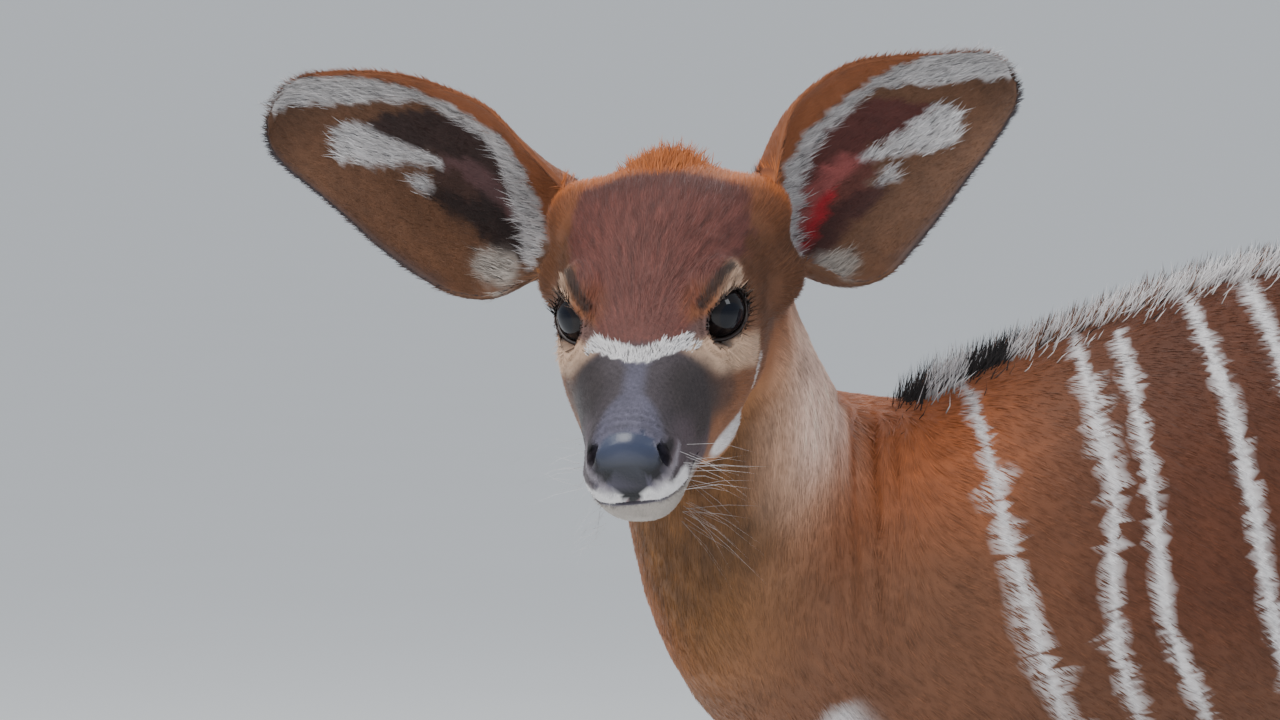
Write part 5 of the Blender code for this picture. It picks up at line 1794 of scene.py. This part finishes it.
# %% [markdown]
# Eyes. A calf's eye is a large dark globe. A brown iris just shows round a wide pupil under the
# clear, wet surface, so a dark base with a glossy coat stands for it.
# %% Eyes and lids
# The globe is darkest in the pupil, which looks out of the middle of the lids
def eye_material(sign):
    name = "eye_%s" % ("left" if sign > 0 else "right")
    made, surface, place = shader(name, roughness=0.10)
    centre, out, _ = eye_frame(sign)
    middle = Vector(centre) + SHIFT
    offset = place.node("ShaderNodeVectorMath", {0: place, 1: tuple(middle)}, operation="SUBTRACT")
    ahead = offset.node("ShaderNodeVectorMath", {0: offset, 1: tuple(out)}, output="Value",
                        operation="DOT_PRODUCT")
    # 1 in the middle of the gaze, 0 at a right angle to it
    gaze = ahead / EYE_RADIUS
    edge = gaze + offset.noise(700.0, 3.0) * 0.02
    in_iris = edge.node("ShaderNodeMapRange", {"Value": edge, "From Min": 0.62, "From Max": 0.72})
    in_pupil = gaze.node("ShaderNodeMapRange", {"Value": gaze, "From Min": 0.86, "From Max": 0.90})
    globe = in_iris.blend((0.016, 0.011, 0.011, 1), (0.012, 0.009, 0.010, 1))
    link(in_pupil.blend(globe, (0.003, 0.004, 0.009, 1)), surface, "Base Color")
    surface.inputs["IOR"].default_value = 1.36
    surface.inputs["Specular IOR Level"].default_value = 0.0
    surface.inputs["Coat Weight"].default_value = 1.0
    surface.inputs["Coat Roughness"].default_value = 0.02
    surface.inputs["Coat IOR"].default_value = 1.36
    return made


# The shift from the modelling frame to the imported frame
low_corner, high_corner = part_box("eye_left")
SHIFT = (low_corner + high_corner) / 2 - Vector(eye_frame(1)[0])


# A globe a little smaller than its socket
def eyeball(sign):
    name = "eye_left" if sign > 0 else "eye_right"
    made = ball(name, eye_frame(sign)[0], (EYE_RADIUS * 0.994,) * 3, None, 40, 64)
    made.data.shade_smooth()
    made.data.materials.append(eye_material(sign))
    return made


eyes = {sign: eyeball(sign) for sign in (-1, 1)}


# The edge of an eye's opening, on a globe of the given size
def slit_edge(sign, radius, steps):
    centre, out, slit = eye_frame(sign)
    upright = out.cross(slit).normalized()
    places_ = []
    for k in range(steps):
        a, b = almond(2 * math.pi * k / steps)
        grow = 1.0
        for _ in range(4):
            reach = math.sqrt(max(radius ** 2 - (a * grow) ** 2 - (b * grow) ** 2, 1e-8))
            grow = 1 + 0.25 * (reach - 0.002) / 0.038
        places_.append(centre + out * reach + slit * (a * grow) + upright * (b * grow))
    return places_


RIM_STEPS = 56
RIM_SIDES = 10


# A soft dark rim round the opening
def lid_rim(sign):
    edge = slit_edge(sign, EYE_RADIUS + 0.0012, RIM_STEPS)
    centre = Vector(eye_frame(sign)[0])
    rings = []
    for k, place in enumerate(edge):
        along = (edge[(k + 1) % RIM_STEPS] - edge[k - 1]).normalized()
        out = (place - centre).normalized()
        side = along.cross(out).normalized()
        ring = []
        for j in range(RIM_SIDES):
            turn = 2 * math.pi * j / RIM_SIDES
            ring.append(place + side * (0.00080 * math.cos(turn)) + out * (0.0012 * math.sin(turn)))
        rings.append(ring)
    bm = bmesh.new()
    rows = [[bm.verts.new(p) for p in ring] for ring in rings]
    for near, far in zip(rows, rows[1:] + rows[:1]):
        for j in range(RIM_SIDES):
            n = (j + 1) % RIM_SIDES
            bm.faces.new((near[j], near[n], far[n], far[j]))
    made = make("lid_rim_" + ("left" if sign > 0 else "right"), bm)
    made.data.shade_smooth()
    return made


# Dark, slightly moist skin of the lids' edges
def rim_material():
    made, surface, place = shader("lid_rim", roughness=0.38)
    grain = place.noise(1400.0, 2.0)
    link(grain.blend((0.022, 0.014, 0.012, 1), (0.050, 0.032, 0.026, 1)), surface, "Base Color")
    link(grain.bump(0.4, 0.0003), surface, "Normal")
    return made


rims = [lid_rim(sign) for sign in (-1, 1)]
rim_look = rim_material()
for rim in rims:
    rim.data.materials.append(rim_look)


# Brush of stiff pale hairs over the white chevron, with dark ones between
def brow_hair():
    draw_ = np.random.default_rng(61)
    q = in_head(sown["points"])
    light = (sown["tint"].mean(axis=1) > 0.40) & (q[:, 0] > 0.028) & (q[:, 0] < 0.058)
    light &= (np.abs(q[:, 1]) < 0.031) & (q[:, 2] > -0.012) & (sown["ear"] == 0)
    pick = draw_.choice(np.nonzero(light)[0], size=1500)
    tint = np.where(draw_.random((len(pick), 1)) < 0.12, MUZZLE_DARK, WHITE * 0.95)
    way = sown["ways"][pick] + draw_.normal(0, 0.16, (len(pick), 3))
    lengths_ = 0.0052 * draw_.uniform(0.5, 1.1, len(pick))
    return long_hair("brow_hair", sown["points"][pick], sown["facing"][pick], way, lengths_, 0.00034, tint,
                     0.34, 0.10, 62)


# The short lashes along the upper lid
def lashes():
    draw_ = np.random.default_rng(27)
    roots, outs, aims = [], [], []
    for sign in (-1, 1):
        centre, out, slit = eye_frame(sign)
        upright = np.array(out.cross(slit).normalized())
        if upright[2] < 0:
            upright = -upright
        edge = np.array(slit_edge(sign, EYE_RADIUS + 0.0022, 160))
        rise = (edge - np.array(centre)) @ upright
        top = edge[rise > 0.003]
        pick = top[draw_.integers(0, len(top), 90)]
        away = unit(pick - np.array(centre + out * 0.010))
        roots.append(pick)
        aim = away * 0.8 + np.array(out) * 0.75 - upright * 0.10
        aims.append(unit(aim + draw_.normal(0, 0.10, pick.shape)))
        outs.append(np.repeat(upright[None], len(pick), 0))
    roots, outs, aims = np.concatenate(roots), np.concatenate(outs), np.concatenate(aims)
    n = len(roots)
    return long_hair("lashes", roots, outs, aims, 0.0032 * draw_.uniform(0.5, 1.1, n), 0.00020,
                     plain(BLACK, roots), 0.05, 0.02, 28)


# Whiskers on the muzzle and under the chin
def whiskers():
    draw_ = np.random.default_rng(29)
    ahead, left, up = as_arrays(head_axes())
    roots, aims = [], []
    for sign in (-1, 1):
        for f, l, u, count, reach in ((0.095, 0.0295, -0.040, 16, 0.045), (0.085, 0.0240, -0.072, 18, 0.055)):
            spread = draw_.normal(0, 1, (count, 3)) * [0.008, 0.0012, 0.007]
            q = np.array([f, l, u]) + spread
            roots.append(np.array(HEAD_PLACE) + q[:, :1] * ahead + sign * q[:, 1:2] * left + q[:, 2:] * up)
            aim = sign * left * 0.9 - ahead * 0.40 - up * (0.40 if u > -0.05 else 1.0)
            aims.append(unit(aim + draw_.normal(0, 0.24, (count, 3))) * reach)
    roots, aims = np.concatenate(roots), np.concatenate(aims)
    n = len(roots)
    normals_ = np.repeat(up[None], n, 0)
    lengths_ = np.linalg.norm(aims, axis=1) * draw_.uniform(0.5, 1.1, n)
    return long_hair("whiskers", roots, normals_, aims, lengths_, 0.00030,
                     WHITE * draw_.uniform(0.6, 1.0, (n, 1)), 0.0, 0.10, 30)


lash_piece, whisker_piece, brow_piece = lashes(), whiskers(), brow_hair()
print("eyes", len(eyes), "lid rims", len(rims), "with lashes, whiskers and brow hair")

# %% [markdown]
# Longer hair in the ears. It grows from the pale marks inside the cup, along the coat that is already
# sown there and in its colours, and a short fringe stands round the rim.
# %% Ear hair
# Places and normals inside a cup: share of the length, and across from -1 to 1 at the upper edge
def ear_surface(which, s, across):
    aim, face, wide, root = as_arrays(ear_frame(which))
    rows = np.array(smooth_rows([(a, h, d, w / 1000) for a, h, d, w in EAR[which]], 60))
    half, drop, wrap = (np.interp(s, rows[:, 0], rows[:, k]) for k in (1, 2, 3))
    arc = np.radians(wrap * 1000)
    radius = half / np.sin(np.minimum(arc, math.pi / 2))
    upper = 1.0 if wide[2] > 0 else -1.0
    middle = root + aim * (EAR_LENGTH[which] * s)[:, None] + face * (radius * np.cos(arc))[:, None]
    middle = middle - wide * (upper * drop)[:, None]
    angle = arc * across * upper
    point = middle + wide * (radius * np.sin(angle))[:, None] - face * (radius * np.cos(angle))[:, None]
    normal = face * np.cos(angle)[:, None] - wide * np.sin(angle)[:, None]
    return point + normal * EAR_WALL * 0.5, normal


# The long hairs of one ear and the fringe of its rim, as one piece
def ear_hair(which, seed):
    draw_ = np.random.default_rng(seed)
    aim, face, wide, _ = as_arrays(ear_frame(which))
    upper = wide if wide[2] > 0 else -wide
    light = (sown["ear"] == (1 if which == "left" else 2)) & (sown["facing"] @ face > 0.05)
    light &= sown["tint"].mean(axis=1) > 0.26
    pick = draw_.choice(np.nonzero(light)[0], size=2600)
    way = unit(sown["ways"][pick] + draw_.normal(0, 0.14, (len(pick), 3)))
    length = 0.0105 * draw_.uniform(0.5, 1.2, len(pick))
    dark = draw_.random((len(pick), 1)) < 0.14
    tint = sown["tint"][pick] * np.where(dark, 0.25, draw_.uniform(0.8, 1.25, (len(pick), 1)))
    sets = [(sown["points"][pick], sown["facing"][pick], way, length, tint)]
    n = 1700
    s = draw_.uniform(0.04, 0.99, n)
    a = np.where(draw_.random(n) < 0.5, -0.985, 0.985)
    point, normal = ear_surface(which, s, a)
    way = aim * 0.9 + upper * (a * 0.6)[:, None] + draw_.normal(0, 0.15, (n, 3))
    tint = np.where((a < 0)[:, None], EAR_EDGE, EAR_BACK) * draw_.uniform(0.8, 1.2, (n, 1))
    sets.append((point, normal, unit(way), 0.0050 * draw_.uniform(0.5, 1.2, n), tint))
    point, normal, way, length, tint = (np.concatenate([item[k] for item in sets]) for k in range(5))
    count = len(point)
    blades_ = tufts(point, normal, way, length, np.full(count, 0.00036), draw_.uniform(0.12, 0.36, count),
                    draw_.uniform(0.0, 0.15, count), draw_)
    chart = np.full(count, list(CHARTS).index("ear1" if which == "left" else "ear2"))
    places_ = unwrap(point, normal, chart)
    return tuft_object("ear_hair_" + which, BENT, blades_, normal, tint, tint, places_, hair)


ear_pieces = [ear_hair("left", 31), ear_hair("right", 33)]
print("ear hair pieces", len(ear_pieces))

# %% [markdown]
# Hooves. Each foot stands on two claws of dark horn with a flat sole, marked by faint growth rings.
# %% Hooves
# One claw: a flat sole that tapers to the toe, and walls that lean back
def claw(which, side, middle):
    rings = []
    for step in range(17):
        share = step / 16
        height = share * (CORONET + 0.010)
        length = CLAW_LENGTH * (1 - 0.26 * share)
        width = CLAW_WIDTH * (1 - 0.20 * share)
        centre = middle[0] - 0.0085 * (1 - share)
        shrink = 0.965 if step == 0 else 1.0
        ring = []
        for k in range(40):
            angle = 2 * math.pi * k / 40
            c, s = math.cos(angle), math.sin(angle)
            taper = 1 - 0.30 * (0.5 - 0.5 * c) ** 2
            across = side * width / 2 + s * taper * shrink * width / 2
            along = centre + c * shrink * length / 2
            ring.append(Vector((along, middle[1] + across + side * CLEFT / 2, height)))
        rings.append(ring)
    return loft("hoof_" + which + ("_right" if side > 0 else "_left"), rings)


# Block that takes the top off a claw along the sloping coronet
def above_coronet(middle):
    bm = bmesh.new()
    bmesh.ops.create_cube(bm, size=0.12)
    turn = Matrix.Rotation(CORONET_SLOPE, 4, "Y")
    place = Matrix.Translation(Vector((middle[0] - 0.010, middle[1], CORONET)))
    bmesh.ops.transform(bm, matrix=place @ turn @ Matrix.Translation(Vector((0, 0, 0.06))), verts=bm.verts)
    return make("block", bm)


# Horn with growth rings, which follow the height, and fine streaks
def horn_material():
    made, surface, place = shader("horn", roughness=0.48)
    height = place.node("ShaderNodeSeparateXYZ", {"Vector": place}, output="Z")
    phase = height * 2600.0 + place.noise(45.0, 2.0) * 9.0
    rings = phase.node("ShaderNodeMath", {0: phase}, operation="SINE")
    streak = place.noise(260.0, 4.0)
    link(streak.blend((0.030, 0.026, 0.024, 1), (0.085, 0.070, 0.058, 1)), surface, "Base Color")
    link((rings * 0.5 + streak).bump(0.35, 0.0004), surface, "Normal")
    return made


horn = horn_material()
hooves = []
for which, stations in LEGS.items():
    middle = leg_stations(stations, which)[-2]
    for side in (-1, 1):
        made = claw(which, side, middle)
        boolean(made, [above_coronet(middle)], "DIFFERENCE")
        made.data.shade_smooth()
        made.data.materials.append(horn)
        hooves.append(made)
print("hooves", len(hooves))

# %% [markdown]
# Putting it together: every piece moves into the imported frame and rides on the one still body.
# %% Assembly
skin.data.shade_smooth()
hairs = coat + [crest, crown, tail_tuft, lash_piece, whisker_piece, brow_piece] + ear_pieces
for piece in [skin] + hairs + rims + list(eyes.values()) + hooves:
    piece.data.transform(Matrix.Translation(SHIFT))
    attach(piece, "root")
for piece in [skin] + hairs + rims:
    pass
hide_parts("head", "neck", "torso", "tail", "ear_left", "ear_right",
            "leg_front_left", "leg_front_right", "leg_hind_left", "leg_hind_right")
for sign, piece in eyes.items():
    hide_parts("eye_left" if sign > 0 else "eye_right")
for piece in hooves:
    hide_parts(piece.name.split(".")[0])
print("pieces", 1 + len(hairs) + len(rims) + len(eyes) + len(hooves))

# %% [markdown]
# A plain pale floor that runs to the horizon, and soft light from above, in front and behind, like an
# overcast sky. The two small lights are there for the eyes, whose wet surface mirrors them as sparks.
# %% Floor, light and camera
# The floor lifts its own shade a little, as a lit paper sheet would
def floor():
    reach = 900.0
    corners = [(-reach, -reach, 0), (reach, -reach, 0), (reach, reach, 0), (-reach, reach, 0)]
    mesh = bpy.data.meshes.new("floor")
    mesh.from_pydata(corners, [], [(0, 1, 2, 3)])
    made, surface, place = shader("floor", roughness=0.9)
    grain = place.noise(3.0, 3.0)
    link(grain.blend((0.90, 0.90, 0.88, 1), (0.94, 0.94, 0.93, 1)), surface, "Base Color")
    surface.inputs["Emission Color"].default_value = (1.0, 0.99, 0.97, 1)
    surface.inputs["Emission Strength"].default_value = 0.14
    mesh.materials.append(made)
    return add_object("floor", mesh)


# A soft square light that faces the target
def area_light(name, place, target, size, power, colour):
    data = bpy.data.lights.new(name, "AREA")
    data.shape = "SQUARE"
    data.size = size
    data.energy = power
    data.color = colour
    made = add_object(name, data)
    made.location = place
    made.rotation_euler = (Vector(target) - Vector(place)).to_track_quat("-Z", "Y").to_euler()
    return made


# Each light: its place from the target, size, power and colour
LIGHTS = {
    "key": ((-1.2, -1.6, 2.6), 2.0, 88.0, (1.0, 0.985, 0.96)),
    "fill": ((2.2, -1.5, 1.7), 0.9, 15.0, (0.93, 0.96, 1.0)),
    "back": ((0.6, 2.4, 2.4), 2.0, 42.0, (1.0, 1.0, 1.0)),
    "catch": ((-2.2, -1.3, 1.4), 0.45, 7.0, (0.88, 0.94, 1.0)),
}
target = Vector((0.0, -0.1, 0.6)) + SHIFT
lights = [area_light(name, target + Vector(place), target, *rest) for name, (place, *rest) in LIGHTS.items()]
floor()
world = bpy.data.worlds.new("sky")
world.use_nodes = True
sky = world.node_tree.nodes["Background"].inputs
sky["Color"].default_value = (0.76, 0.83, 0.93, 1)
sky["Strength"].default_value = 0.55
bpy.context.scene.world = world

camera_data = bpy.data.cameras.new("camera")
camera = add_object("camera", camera_data)
camera_data.sensor_width = 36.0
camera_data.lens = 200.0
aim_at = Vector((0.0, -0.20, 0.615)) + SHIFT
rise = math.radians(3.0)
distance = 3.95
camera.location = aim_at + Vector((0, -math.cos(rise), math.sin(rise))) * distance
camera.rotation_euler = (aim_at - camera.location).to_track_quat("-Z", "Y").to_euler()
camera_data.clip_end = 2000.0
bpy.context.scene.camera = camera
print("lights", len(lights), "lens", camera_data.lens, "mm")
